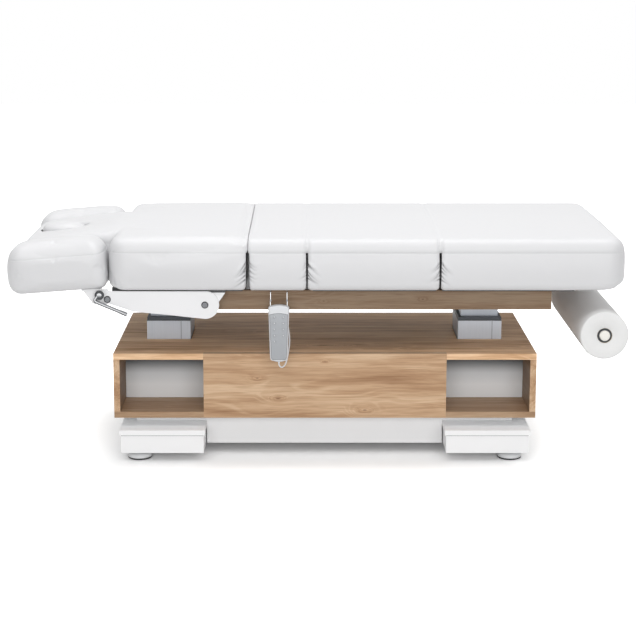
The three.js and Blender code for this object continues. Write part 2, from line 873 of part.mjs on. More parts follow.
sides.forEach(({ side, across }) => {
  addPart(`frame_beam_${side}`, buildBeam(across), 'whiteSteel');
});
ends.forEach(({ end, along }) => {
  addPart(`frame_cross_member_${end}`, buildCrossMember(along), 'whiteSteel');
});

function buildApron(across) {
  const outerY = across * half(apronWidth);
  const innerY = across * (half(apronWidth) - apronThickness);
  const slab = block([apronHeadEnd, apronFootEnd], [Math.min(outerY, innerY), Math.max(outerY, innerY)],
    [apronBottom, apronTop]);
  if (across > 0) {
    return slab;
  }
  const holeSize = cordDiameter + 2 * cordHoleMargin;
  return cut(slab, rodAlongY(holeSize, outerY - overrun, innerY + overrun, cordEntryX, driveLineZ, 16));
}

sides.forEach(({ side, across }) => {
  addPart(`apron_${side}`, buildApron(across), 'wood');
});
addPart('apron_end', block(
  [apronFootEnd - apronThickness, apronFootEnd],
  span(0, apronWidth - 2 * apronThickness - 2 * gap),
  [apronBottom, apronTop],
), 'wood');

// Mattress sections
const fullWidth = [-mattressSideY, mattressSideY];

function hingePockets(foldX) {
  const reach = lugRadius + pocketMargin;
  return sides.map(({ across }) => {
    const inner = postY - half(postThickness) - lugThickness - 2 * pinClearance - pocketMargin;
    const outer = postY + half(postThickness) + pocketMargin;
    return block(
      span(foldX, 2 * reach),
      [Math.min(across * inner, across * outer), Math.max(across * inner, across * outer)],
      [cushionBottom - overrun, hingeZ + reach],
    );
  });
}

function buildSeatCushion() {
  const form = cushionForm({
    x: [backFoldX + half(slit), thighFoldX - half(slit)],
    y: fullWidth,
    bottom: cushionBottom,
    edgeTop: mattressEdgeTop,
    crown: mattressCrown,
    swell: sideSwell,
    headEdge: foldRadius,
    footEdge: foldRadius,
    sideEdge: sideRadius,
    headCorner: foldCornerRadius,
    footCorner: foldCornerRadius,
    headFold: true,
    footFold: true,
  });
  return cut(form, ...hingePockets(backFoldX), ...hingePockets(thighFoldX));
}

function buildThighCushion() {
  const form = cushionForm({
    x: [thighFoldX + half(slit), kneeFoldX - half(slit)],
    y: fullWidth,
    bottom: cushionBottom,
    edgeTop: mattressEdgeTop,
    crown: mattressCrown,
    swell: sideSwell,
    headEdge: foldRadius,
    footEdge: bottomRadius,
    sideEdge: sideRadius,
    headCorner: foldCornerRadius,
    footCorner: foldCornerRadius,
    headFold: true,
    footFold: true,
  });
  return cut(form, ...hingePockets(thighFoldX));
}

function buildCalfCushion() {
  return cushionForm({
    x: [kneeFoldX + half(slit), footEndX],
    y: fullWidth,
    bottom: cushionBottom,
    edgeTop: mattressEdgeTop,
    crown: mattressCrown,
    swell: sideSwell,
    headEdge: bottomRadius,
    footEdge: sideRadius,
    sideEdge: sideRadius,
    headCorner: foldCornerRadius,
    footCorner: footCornerRadius,
    headFold: true,
    footFold: false,
  });
}

// Height of the head portion's top edge: it falls from the shoulders to the head end
function headTopDrop(x) {
  const share = THREE.MathUtils.clamp((shoulderX - x) / (shoulderX - headEndX), 0, 1);
  return headDrop * share;
}

// Slopes the top of a form towards the head end, its bottom staying level
function slopeHead(geometry) {
  const position = geometry.attributes.position;
  const thickness = mattressEdgeTop - cushionBottom;
  for (let i = 0; i < position.count; i += 1) {
    const z = position.getZ(i);
    const share = (z - cushionBottom) / thickness;
    position.setZ(i, z - headTopDrop(position.getX(i)) * share);
  }
  return geometry;
}

function buildBackCushion() {
  const main = cushionForm({
    x: [shoulderX, backFoldX - half(slit)],
    y: fullWidth,
    bottom: cushionBottom,
    edgeTop: mattressEdgeTop,
    crown: mattressCrown,
    swell: sideSwell,
    headEdge: sideRadius,
    footEdge: foldRadius,
    sideEdge: sideRadius,
    headCorner: shoulderCornerRadius,
    footCorner: foldCornerRadius,
    headFold: false,
    footFold: true,
  });
  const head = slopeHead(cushionForm({
    x: [headEndX, shoulderX + 2 * neckOverlap],
    y: span(0, headWidth),
    bottom: cushionBottom,
    edgeTop: mattressEdgeTop,
    crown: mattressCrown,
    swell: headSwell,
    headEdge: sideRadius,
    footEdge: sideRadius,
    sideEdge: sideRadius,
    headCorner: headCornerRadius,
    footCorner: headCornerRadius,
    headFold: false,
    footFold: false,
  }));
  const hole = plateAlongZ(ellipseShape(faceHoleLength, faceHoleWidth, faceHoleX, 0),
    cushionBottom - overrun, mattressEdgeTop + mattressCrown + overrun);
  return cut(join(main, head), hole, ...hingePockets(backFoldX));
}

// Domed insert that fills the face hole
function buildFacePlug() {
  const surface = mattressEdgeTop - headTopDrop(faceHoleX);
  const bottom = surface - plugDepth;
  const ringAt = (share, z) => ellipseShape(
    (faceHoleLength - 2 * plugGap) * share,
    (faceHoleWidth - 2 * plugGap) * share,
    faceHoleX,
    0,
  ).getPoints().slice(0, 32).map((point) => new THREE.Vector3(point.x, point.y, z));
  const footShare = 0.94;
  const domeShares = [1, 0.97, 0.88, 0.7, 0.4];
  const rings = [
    ringAt(footShare, bottom),
    ringAt(1, bottom + bottomRadius),
    ringAt(1, surface - bottomRadius),
  ];
  domeShares.forEach((share) => {
    const rise = (mattressCrown + plugDome) * Math.sqrt(1 - share * share);
    rings.push(ringAt(share, surface - gap + rise));
  });
  return loft(rings);
}

addPart('seat_cushion', buildSeatCushion(), 'leatherette');
addPart('back_cushion', buildBackCushion(), 'leatherette');
addPart('thigh_cushion', buildThighCushion(), 'leatherette');
addPart('calf_cushion', buildCalfCushion(), 'leatherette');
addPart('face_plug', buildFacePlug(), 'leatherette');

// Decks under the moving sections
function buildLug(foldX, across) {
  const innerY = across * (postY - half(postThickness) - pinClearance - lugThickness);
  const outerY = across * (postY - half(postThickness) - pinClearance);
  const shank = block(
    span(foldX, 2 * lugRadius),
    [Math.min(innerY, outerY), Math.max(innerY, outerY)],
    [deckBottom, hingeZ],
  );
  const eye = rodAlongY(2 * lugRadius, innerY, outerY, foldX, hingeZ);
  const bore = rodAlongY(hingePin + 2 * pinClearance, innerY - across * overrun, outerY + across * overrun,
    foldX, hingeZ);
  return cut(join(shank, eye), bore);
}

// Tongue that carries a lug past the end of its deck
function buildTongue(foldX, deckX, across) {
  const inner = postY - half(postThickness) - pinClearance - lugThickness;
  const outer = postY - half(postThickness) - pinClearance;
  return block(
    [Math.min(foldX - lugRadius, deckX), Math.max(foldX + lugRadius, deckX)],
    [Math.min(across * inner, across * outer), Math.max(across * inner, across * outer)],
    [deckBottom, deckTop],
  );
}

const pinAt = (foldX, degrees) => foldX + driveRadius * Math.tan(radians(degrees));
const slotRadius = half(drivePin) + slotPlay;
const leverRadius = slotRadius + leverWall;

// Drive lever: from its root under the deck to the slot that the actuator's pin runs in
function buildLever(foldX, restDegrees, rootX, leverY) {
  const direction = new THREE.Vector2(Math.sin(radians(restDegrees)), -Math.cos(radians(restDegrees)));
  const pivot = new THREE.Vector2(foldX, hingeZ);
  const nearSlot = pivot.clone().addScaledVector(direction, driveRadius);
  const farSlot = pivot.clone().addScaledVector(direction, driveRadius / Math.cos(radians(restDegrees)));
  const outline = roundedHull([
    { x: nearSlot.x, y: nearSlot.y, radius: leverRadius },
    { x: farSlot.x, y: farSlot.y, radius: leverRadius },
    { x: rootX[0], y: deckBottom + gap, radius: leverRootInset },
    { x: rootX[1], y: deckBottom + gap, radius: leverRootInset },
  ]);
  const plate = plateAlongY(outline, leverY - half(leverThickness), leverY + half(leverThickness));
  const slot = roundedHull([
    { x: nearSlot.x, y: nearSlot.y, radius: slotRadius },
    { x: farSlot.x, y: farSlot.y, radius: slotRadius },
  ]);
  return cut(plate, plateAlongY(slot, leverY - leverThickness, leverY + leverThickness));
}

// Outline round a set of circles, as a belt would lie
function roundedHull(circles) {
  const arcSteps = 16;
  const points = [];
  circles.forEach(({ x, y, radius }) => {
    for (let i = 0; i < arcSteps; i += 1) {
      const angle = (i / arcSteps) * 2 * Math.PI;
      points.push(new THREE.Vector2(x + radius * Math.cos(angle), y + radius * Math.sin(angle)));
    }
  });
  points.sort((a, b) => a.x - b.x || a.y - b.y);
  const turn = (o, a, b) => (a.x - o.x) * (b.y - o.y) - (a.y - o.y) * (b.x - o.x);
  const chain = (list) => {
    const hull = [];
    list.forEach((point) => {
      while (hull.length >= 2 && turn(hull.at(-2), hull.at(-1), point) <= 0) {
        hull.pop();
      }
      hull.push(point);
    });
    return hull.slice(0, -1);
  };
  return new THREE.Shape([...chain(points), ...chain([...points].reverse())]);
}

function deckPlate(x, width) {
  return block(x, span(0, width), [deckBottom, deckTop]);
}

const foldRelief = lugRadius + overrun;
const backDeckFoot = backFoldX - foldRelief - half(slit);
const thighDeckHead = thighFoldX + foldRelief + half(slit);
const kneeRelief = half(slit) + half(deckThickness);

// Base bracket of an armrest: a plate below the deck's edge with the arm's pivot bolt
function buildBaseBracket(across) {
  const outerY = across * (armPlateY - gap);
  const innerY = across * (armPlateY - gap - bracketThickness);
  const outline = roundedHull([
    { x: baseBracketHead + half(bracketThickness), y: deckBottom, radius: half(bracketThickness) },
    { x: baseBracketFoot - half(bracketThickness), y: deckBottom, radius: half(bracketThickness) },
    { x: armPivotX, y: armPivotZ, radius: armEndRadius - bracketRadius },
  ]);
  const plate = plateAlongY(outline, innerY, outerY);
  const deckEdgeY = across * half(deckWidth - deckThickness);
  const shelf = block(
    [baseBracketHead, baseBracketFoot],
    [Math.min(outerY, deckEdgeY), Math.max(outerY, deckEdgeY)],
    [deckBottom, deckTop],
  );
  return join(plate, shelf, pivotBolt(armPivotX, armPivotZ, across, innerY));
}

// Pivot bolt: shank through the arm plate, head on its outer face
function pivotBolt(x, z, across, fromY) {
  const headY = across * (armPlateY + armPlateThickness + gap);
  const shank = rodAlongY(boltDiameter, fromY, headY + across * gap, x, z);
  const head = rodAlongY(boltHeadDiameter, headY, headY + across * boltHeadHeight, x, z);
  const socket = rodAlongY(half(boltHeadDiameter), headY + across * half(boltHeadHeight),
    headY + across * (boltHeadHeight + overrun), x, z, 6);
  return cut(join(shank, head), socket);
}

function buildBackDeck() {
  const main = deckPlate([shoulderX + bottomRadius, backDeckFoot], deckWidth);
  const head = deckPlate([headEndX + sideRadius, shoulderX + sideRadius], headWidth - 2 * sideRadius);
  const hole = plateAlongZ(
    ellipseShape(faceHoleLength + 2 * deckHoleMargin, faceHoleWidth + 2 * deckHoleMargin, faceHoleX, 0),
    deckBottom - overrun,
    deckTop + overrun,
  );
  const rootX = [backDeckFoot - backLeverRoot, backDeckFoot - leverRootInset];
  const lever = buildLever(backFoldX, half(backTravel), rootX, backLeverY);
  const pieces = [cut(join(main, head), hole), lever];
  sides.forEach(({ across }) => {
    pieces.push(buildLug(backFoldX, across), buildTongue(backFoldX, backDeckFoot - gap, across));
    pieces.push(buildBaseBracket(across));
  });
  return join(...pieces);
}

// Knee hinge: an eye on the thigh deck and a pin on the calf deck, at both sides
const kneeEyeRadius = lugRadius;
const kneeLugY = postY - half(postThickness) - pinClearance - half(lugThickness);

function buildKneeEye(across) {
  const y = span(across * kneeLugY, lugThickness);
  const arm = block([kneeFoldX - kneeRelief - overrun, kneeFoldX], y, span(kneeZ, deckThickness));
  const eye = rodAlongY(2 * kneeEyeRadius, y[0], y[1], kneeFoldX, kneeZ);
  const bore = rodAlongY(hingePin + 2 * pinClearance, y[0] - overrun, y[1] + overrun, kneeFoldX, kneeZ, 16);
  return cut(join(arm, eye), bore);
}

function buildKneePin(across) {
  const eyeInner = kneeLugY - half(lugThickness) - pinClearance;
  const innerFace = eyeInner - lugThickness;
  const y = [across * innerFace, across * eyeInner].sort((a, b) => a - b);
  const arm = block([kneeFoldX, kneeFoldX + kneeRelief + overrun], y, span(kneeZ, deckThickness));
  const cheek = rodAlongY(2 * kneeEyeRadius, y[0], y[1], kneeFoldX, kneeZ);
  const pinEnd = kneeLugY + half(lugThickness) + gap;
  const pin = rodAlongY(hingePin, across * (eyeInner - gap), across * pinEnd, kneeFoldX, kneeZ, 16);
  return join(arm, cheek, pin);
}

function buildThighDeck() {
  const plate = deckPlate([thighDeckHead, kneeFoldX - kneeRelief], deckWidth);
  const rootX = [thighDeckHead + leverRootInset, thighDeckHead + legLeverRoot];
  const lever = buildLever(thighFoldX, -half(legTravel), rootX, legLeverY);
  const pieces = [plate, lever];
  sides.forEach(({ across }) => {
    pieces.push(buildLug(thighFoldX, across), buildTongue(thighFoldX, thighDeckHead + gap, across));
    pieces.push(buildKneeEye(across));
  });
  return join(...pieces);
}

// The calf deck hangs its stay lug as far below the knee as the stay's pivot is below the thigh hinge
function buildCalfDeck() {
  const plate = deckPlate([kneeFoldX + kneeRelief, footEndX - footBottomRadius], deckWidth);
  const lugY = [stayY + gap, stayY + gap + stayLugThickness];
  const outline = roundedHull([
    { x: kneeFoldX, y: kneeZ - stayDrop, radius: stayLugRadius },
    { x: kneeFoldX + kneeRelief + stayLugRadius, y: deckBottom, radius: gap },
    { x: kneeFoldX + kneeRelief + stayLugWidth, y: deckBottom, radius: gap },
  ]);
  const lug = plateAlongY(outline, lugY[0], lugY[1]);
  const pin = rodAlongY(stayPin, stayY - stayThickness - gap, lugY[0] + gap, kneeFoldX, kneeZ - stayDrop);
  const pieces = [plate, lug, pin];
  sides.forEach(({ across }) => pieces.push(buildKneePin(across)));
  return join(...pieces);
}

// Leg stay: parallel to the line from the thigh hinge to the knee, and as long
function buildLegStay() {
  const from = { x: thighFoldX, y: stayPivotZ };
  const to = { x: kneeFoldX, y: kneeZ - stayDrop };
  const yRange = [stayY - stayThickness, stayY];
  const bar = plateAlongY(roundedHull([
    { ...from, radius: half(stayHeight) },
    { ...to, radius: half(stayHeight) },
  ]), yRange[0], yRange[1]);
  const bores = [from, to].map(({ x, y }) => rodAlongY(stayPin + 2 * pinClearance, yRange[0] - overrun,
    yRange[1] + overrun, x, y));
  return cut(bar, ...bores);
}

addPart('back_deck', buildBackDeck(), 'whiteSteel');
addPart('thigh_deck', buildThighDeck(), 'whiteSteel');
addPart('calf_deck', buildCalfDeck(), 'whiteSteel');
addPart('leg_stay', buildLegStay(), 'blackSteel');

// Actuators: a bored housing on the column cross member, a gear head and a motor beside it
function buildActuator(frontX, rearX, y, motorSide) {
  const x = [Math.min(frontX, rearX), Math.max(frontX, rearX)];
  const inward = Math.sign(rearX - frontX);
  const housing = block(x, span(y, housingWidth), span(driveLineZ, housingHeight));
  const gearX = [rearX - inward * gearLength, rearX].sort((a, b) => a - b);
  const gearY = [y, y + motorSide * (half(housingWidth) + motorDiameter)].sort((a, b) => a - b);
  const gear = block(gearX, gearY, span(driveLineZ, housingHeight));
  const motorY = y + motorSide * (half(housingWidth) + half(motorDiameter));
  const motorX = [rearX - inward * (gearLength + motorLength), rearX - inward * (gearLength - gap)];
  motorX.sort((a, b) => a - b);
  const motor = rodAlongX(motorDiameter - gap, motorX[0], motorX[1], motorY, driveLineZ);
  const boreEnd = rearX - inward * gearLength;
  const boreX = [frontX - inward * overrun, boreEnd].sort((a, b) => a - b);
  const bore = rodAlongX(rodDiameter + 2 * boreClearance, boreX[0], boreX[1], y, driveLineZ);
  return cut(join(housing, gear, motor), bore);
}

// Push rod: a round rod with a fork that straddles the lever, and its drive pin
function buildActuatorRod(pinX, housingFront, stroke, y, toRear) {
  const cheekY = half(leverThickness) + forkClearance;
  const bridgeNear = pinX + toRear * forkReach;
  const bridgeFar = bridgeNear + toRear * forkBridge;
  const rodEnd = housingFront + toRear * (stroke + rodEngagement);
  const rodX = [bridgeFar - toRear * gap, rodEnd].sort((a, b) => a - b);
  const rod = rodAlongX(rodDiameter, rodX[0], rodX[1], y, driveLineZ);
  const bridgeX = [bridgeNear, bridgeFar].sort((a, b) => a - b);
  const bridge = block(bridgeX, span(y, 2 * (cheekY + forkThickness)), span(driveLineZ, rodDiameter));
  const cheeks = [-1, 1].map((hand) => {
    const inner = y + hand * cheekY;
    const outer = y + hand * (cheekY + forkThickness);
    return plateAlongY(roundedHull([
      { x: pinX, y: driveLineZ, radius: half(rodDiameter) },
      { x: bridgeNear + toRear * gap, y: driveLineZ, radius: half(rodDiameter) },
    ]), inner, outer);
  });
  const reach = cheekY + forkThickness + pinHeadThickness;
  const pin = rodAlongY(drivePin, y - reach, y + reach, pinX, driveLineZ);
  const trimX = [bridgeFar, bridgeFar + toRear * rodDiameter].sort((a, b) => a - b);
  const trims = [-1, 1].map((hand) => block(
    trimX,
    span(y + hand * (cheekY + half(forkThickness)), forkThickness + gap),
    span(driveLineZ, 2 * rodDiameter),
  ));
  const fork = cut(join(bridge, ...cheeks), ...trims);
  return join(fork, pin, rod);
}

const actuatorRear = (along) => columnX(along) - along * (half(Math.max(crossWidth, innerWidth)) + gap);
const driveStroke = (travel) => 2 * driveRadius * Math.tan(radians(half(travel)));
addPart('back_actuator', buildActuator(backHousingFront, actuatorRear(1), backLeverY, -1), 'blackSteel');
addPart('back_actuator_rod', buildActuatorRod(pinAt(backFoldX, half(backTravel)), backHousingFront,
  driveStroke(backTravel), backLeverY, 1), 'chrome');
addPart('leg_actuator', buildActuator(legHousingFront, actuatorRear(-1), legLeverY, 1), 'blackSteel');
addPart('leg_actuator_rod', buildActuatorRod(pinAt(thighFoldX, -half(legTravel)), legHousingFront,
  driveStroke(legTravel), legLeverY, -1), 'chrome');

// Armrests
function buildArmPlate(across) {
  const noseX = armPivotX - armPlateLength;
  const outline = new THREE.Shape();
  const turnShares = [-0.5, 0.42];
  const waistShare = 0.72;
  const [turnStart, turnFinish] = turnShares.map((share) => share * Math.PI);
  outline.absarc(armPivotX, armPivotZ, armEndRadius, turnStart, turnFinish, false);
  outline.lineTo(noseX, armPivotZ + armNoseRise);
  outline.lineTo(noseX - armNoseRun - bracketThickness, armPivotZ + armNoseDrop);
  outline.lineTo(armPivotX - armLowerRun, armPivotZ - armLowerRise);
  outline.lineTo(armPivotX - half(armLowerRun), armPivotZ - armEndRadius * waistShare);
  const inner = across * armPlateY;
  const outer = across * (armPlateY + armPlateThickness);
  const plate = plateAlongY(outline, inner, outer);
  const bores = [[armPivotX, armPivotZ], [padPivotX, padPivotZ]].map(([x, z]) => rodAlongY(
    boltDiameter + 2 * pinClearance,
    inner - across * overrun,
    outer + across * overrun,
    x,
    z,
  ));
  return cut(plate, ...bores);
}

const tiltAboutPad = (geometry) => geometry
  .translate(-padFootEnd, 0, -padBottomAtFoot)
  .rotateY(-radians(padTilt))
  .translate(padFootEnd, 0, padBottomAtFoot);

function buildArmrestPad(across) {
  const y = [across * padInnerY, across * mattressSideY].sort((a, b) => a - b);
  const form = cushionForm({
    x: [padFootEnd - padLength, padFootEnd],
    y,
    bottom: padBottomAtFoot,
    edgeTop: padBottomAtFoot + padThickness - padCrown,
    crown: padCrown,
    swell: headSwell,
    headEdge: padSideRadius,
    footEdge: padSideRadius,
    sideEdge: padSideRadius,
    seamDrop: padSeamDrop,
    headCorner: padHeadRadius,
    footCorner: padFootRadius,
    headFold: false,
    footFold: false,
  });
  return tiltAboutPad(form);
}

// Pad bracket: plate behind the arm plate, flange under the pad, pivot bolt and lever boss
function buildPadBracket(across) {
  const outerY = across * (armPlateY - gap);
  const innerY = across * (armPlateY - gap - bracketThickness);
  const flangeInnerY = across * (armPlateY - flangeWidth);
  const flange = tiltAboutPad(block(
    [padPivotX - bracketLength, padFootEnd - padFootRadius],
    [Math.min(outerY, flangeInnerY), Math.max(outerY, flangeInnerY)],
    [padBottomAtFoot - gap - flangeThickness, padBottomAtFoot - gap],
  ));
  const cornerZ = (x) => padBottomAtFoot - (padFootEnd - x) * Math.tan(radians(padTilt))
    - flangeThickness;
  const headX = padPivotX - bracketLength + bracketThickness;
  const keelZ = padPivotZ - half(bracketDrop) + bracketThickness;
  const outline = roundedHull([
    { x: padPivotX, y: padPivotZ, radius: bracketRadius + half(bracketThickness) },
    { x: padPivotX - half(bracketDrop), y: keelZ, radius: bracketRadius },
    { x: padPivotX - half(bracketLength), y: keelZ, radius: half(bracketDrop) },
    { x: headX, y: cornerZ(headX), radius: gap },
    { x: padPivotX, y: cornerZ(padPivotX), radius: gap },
  ]);
  const plate = plateAlongY(outline, innerY, outerY);
  const spindleEnd = across * (armPlateY + armPlateThickness + leverRodDiameter + gap);
  const spindle = rodAlongY(boltDiameter, innerY, spindleEnd, knobX, knobZ);
  return join(plate, flange, pivotBolt(padPivotX, padPivotZ, across, innerY), spindle);
}

// Release lever: a ring on the spindle, a chrome rod along the plate's lower edge and its sleeve
function buildReleaseLever(across) {
  const rodY = across * (armPlateY + armPlateThickness + leverStandOff + half(leverRodDiameter));
  const ringInner = rodY - across * half(knobThickness);
  const ringOuter = rodY + across * half(knobThickness);
  const angle = radians(leverRodAngle);
  const root = new THREE.Vector3(knobX - leverRootSetback, rodY, knobZ - leverRootDrop);
  const along = new THREE.Vector3(Math.cos(angle), 0, Math.sin(angle));
  const tip = root.clone().addScaledVector(along, leverRodLength);
  const sleeveStart = tip.clone().addScaledVector(along, -leverSleeveLength);
  const ring = rodAlongY(knobDiameter, ringInner, ringOuter, knobX, knobZ, 32);
  const rod = rodBetween(leverRodDiameter, root, tip);
  const sleeve = rodBetween(leverSleeveDiameter, sleeveStart, tip.clone().addScaledVector(along, gap));
  const neck = plateAlongY(roundedHull([
    { x: knobX, y: knobZ, radius: half(leverRodDiameter) },
    { x: root.x, y: root.z, radius: half(leverRodDiameter) },
  ]), rodY - half(leverRodDiameter), rodY + half(leverRodDiameter));
  const bore = rodAlongY(boltDiameter + 2 * pinClearance, rodY - across * knobDiameter,
    rodY + across * knobDiameter, knobX, knobZ);
  return cut(join(ring, neck, rod, sleeve), bore);
}

sides.forEach(({ side, across }) => {
  addPart(`arm_plate_${side}`, buildArmPlate(across), 'whiteSteel');
  addPart(`pad_bracket_${side}`, buildPadBracket(across), 'whiteSteel');
  addPart(`armrest_pad_${side}`, buildArmrestPad(across), 'leatherette');
  addPart(`release_lever_${side}`, buildReleaseLever(across), 'chrome');
});

// Handset: tapered shell with an arched top, drawn in X and Z
function handsetOutline(inset) {
  const top = handsetTop - inset;
  const bottom = handsetTop - handsetHeight + inset;
  const topHalf = half(handsetWidth) - inset;
  const footHalf = half(handsetFootWidth) - inset;
  const corner = Math.max(handsetCorner - inset, gap);
  const shape = new THREE.Shape();
  shape.moveTo(handsetX - footHalf + corner, bottom);
  shape.quadraticCurveTo(handsetX, bottom - handsetArch, handsetX + footHalf - corner, bottom);
  shape.quadraticCurveTo(handsetX + footHalf, bottom, handsetX + footHalf, bottom + corner);
  shape.lineTo(handsetX + topHalf, top - corner - handsetArch);
  const brow = top - handsetArch;
  shape.quadraticCurveTo(handsetX + topHalf, brow, handsetX + topHalf - corner, brow);
  shape.quadraticCurveTo(handsetX, top + handsetArch, handsetX - topHalf + corner, brow);
  shape.quadraticCurveTo(handsetX - topHalf, brow, handsetX - topHalf, brow - corner);
  shape.lineTo(handsetX - footHalf, bottom + corner);
  shape.quadraticCurveTo(handsetX - footHalf, bottom, handsetX - footHalf + corner, bottom);
  return shape;
}

// Keypad film: follows the shell's sides, its top edge arched below the bare brow
function keypadOutline(inset) {
  const top = handsetTop - keypadDrop - inset;
  const bottom = handsetTop - handsetHeight + keypadMargin + inset;
  const topHalf = half(handsetWidth) - keypadMargin - inset;
  const footHalf = half(handsetFootWidth) - keypadMargin - inset;
  const corner = half(handsetCorner);
  const shape = new THREE.Shape();
  shape.moveTo(handsetX - footHalf + corner, bottom);
  shape.lineTo(handsetX + footHalf - corner, bottom);
  shape.quadraticCurveTo(handsetX + footHalf, bottom, handsetX + footHalf, bottom + corner);
  shape.lineTo(handsetX + topHalf, top - handsetArch);
  shape.quadraticCurveTo(handsetX, top + handsetArch, handsetX - topHalf, top - handsetArch);
  shape.lineTo(handsetX - footHalf, bottom + corner);
  shape.quadraticCurveTo(handsetX - footHalf, bottom, handsetX - footHalf + corner, bottom);
  return shape;
}

const handsetFrontY = handsetBackY - handsetThickness;
const reliefBottom = handsetTop - handsetHeight - reliefLength;

function buildHandsetShell() {
  const bevelled = new THREE.ExtrudeGeometry(handsetOutline(handsetBevel), {
    depth: handsetThickness - 2 * handsetBevel,
    bevelEnabled: true,
    bevelThickness: handsetBevel,
    bevelSize: handsetBevel,
    bevelSegments: 2,
    curveSegments: 4,
  });
  const body = bevelled.rotateX(Math.PI / 2).translate(0, handsetBackY - handsetBevel, 0);
  const recess = plateAlongY(keypadOutline(-gap), handsetFrontY - overrun, handsetFrontY + keypadDepth);
  const relief = rodAlongZ(reliefDiameter, reliefBottom, handsetTop - handsetHeight + overrun,
    handsetX, half(handsetFrontY + handsetBackY), 16);
  return join(cut(body, recess), relief);
}

function buildKeypad() {
  const filmBack = handsetFrontY + keypadDepth - gap;
  const filmFront = filmBack - keypadDepth;
  const film = plateAlongY(keypadOutline(0), filmFront, filmBack);
  const pieces = [film];
  for (let row = 0; row < keyRows; row += 1) {
    const columns = row < keyRows - 1 ? [-1, 1] : [-1];
    columns.forEach((hand) => {
      const x = handsetX + hand * half(keySpacingX);
      const z = handsetTop - keyFirstDrop - row * keySpacingZ;
      pieces.push(rodAlongY(keyDiameter, filmFront + gap, filmFront - keyHeight, x, z, 12));
    });
  }
  return join(...pieces);
}

// Hanger: one bent wire, both legs hooked over the front apron
function buildHanger() {
  const hookZ = apronTop + wireSeat + half(wireDiameter);
  const legY = half(handsetFrontY + handsetBackY);
  const hookY = -half(apronWidth) + apronThickness + half(wireDiameter) + wireSeat;
  const hookEnd = beamTop + gap;
  const legs = [-1, 1].map((hand) => {
    const x = handsetX + hand * half(wireSpacing);
    const corners = [
      [legY, handsetTop - handsetArch + half(wireBend)],
      [legY, hookZ],
      [hookY, hookZ],
      [hookY, hookEnd],
    ].map(([y, z]) => new THREE.Vector3(x, y, z));
    return bentRod(corners, wireBend, wireDiameter, 8);
  });
  const bar = rodAlongX(wireDiameter, handsetX - half(wireSpacing), handsetX + half(wireSpacing), legY,
    hookZ - wireBend - overrun, 8);
  return join(...legs, bar);
}

// Cord: from the strain relief in a loop, up behind the handset and through the apron to the box
function buildCord() {
  const handsetY = half(handsetFrontY + handsetBackY);
  const apronFaceY = -half(apronWidth);
  const route = [
    ...cordFromRelief.map(([x, y, z]) => new THREE.Vector3(handsetX + x, handsetY + y, reliefBottom + z)),
    ...cordAtEntry.map(([x, y, z]) => new THREE.Vector3(cordEntryX + x, apronFaceY + y, driveLineZ + z)),
    new THREE.Vector3(cordEntryX, -beamInnerY, driveLineZ),
  ];
  const path = new THREE.CatmullRomCurve3(route, false, 'centripetal');
  const steps = Math.round(path.getLength() / (2 * cordDiameter));
  return new THREE.ExtrudeGeometry(circleShape(cordDiameter, 8), { steps, extrudePath: path });
}

addPart('handset_shell', buildHandsetShell(), 'whitePlastic');
addPart('handset_keypad', buildKeypad(), 'greyPlastic');
addPart('handset_hanger', buildHanger(), 'chrome');
addPart('handset_cord', buildCord(), 'whitePlastic');
addPart('control_box', block(
  [boxHeadX, boxHeadX + boxLength],
  [-beamInnerY + gap, -beamInnerY + gap + boxDepth],
  [boxBottom, boxBottom + boxHeight],
), 'whitePlastic');

// Paper roll on its holder at the foot end
const rollRearY = rollFrontY + rollLength;

function buildPaperRoll() {
  const profile = [
    [half(coreDiameter), rollFrontY],
    [half(rollDiameter), rollFrontY],
    [half(rollDiameter), rollRearY],
    [half(coreDiameter), rollRearY],
    [half(coreDiameter), rollFrontY],
  ].map(([r, y]) => new THREE.Vector2(r, y));
  return new THREE.LatheGeometry(profile, 40).translate(rollX, 0, rollZ);
}

function buildRollHolder() {
  const armY = rollRearY + holderRollGap;
  const plateX = [apronFootEnd + gap, apronFootEnd + gap + holderPlateThickness];
  const plate = block(plateX, span(armY, half(holderPlate)), span(holderPlateZ, half(holderPlate)));
  const capBack = rollFrontY - holderCapThickness;
  const rod = bentRod([
    new THREE.Vector3(plateX[1] - gap, armY, holderPlateZ),
    new THREE.Vector3(rollX, armY, holderPlateZ),
    new THREE.Vector3(rollX, armY, rollZ),
    new THREE.Vector3(rollX, capBack, rollZ),
  ], holderBend, holderRod, 12);
  const hubs = [rollFrontY + hubInset, rollRearY - hubInset - hubLength].map((y) => rodAlongY(
    coreDiameter - 2 * coreGap, y, y + hubLength, rollX, rollZ, 40,
  ));
  const cap = rodAlongY(holderCapDiameter, capBack, rollFrontY + holderCapThickness, rollX, rollZ, 32);
  return join(plate, rod, ...hubs, cap);
}

addPart('paper_roll', buildPaperRoll(), 'paper');
addPart('roll_holder', buildRollHolder(), 'whiteSteel');

// The origin is at floor level below the middle of the whole bed
const reach = new THREE.Box3().setFromObject(bed);
bed.position.x = -half(reach.min.x + reach.max.x);

const object = new THREE.Group();
object.add(bed);

export default object;
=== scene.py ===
import math

import bmesh
import bpy
import numpy as np
from mathutils import Matrix, Vector


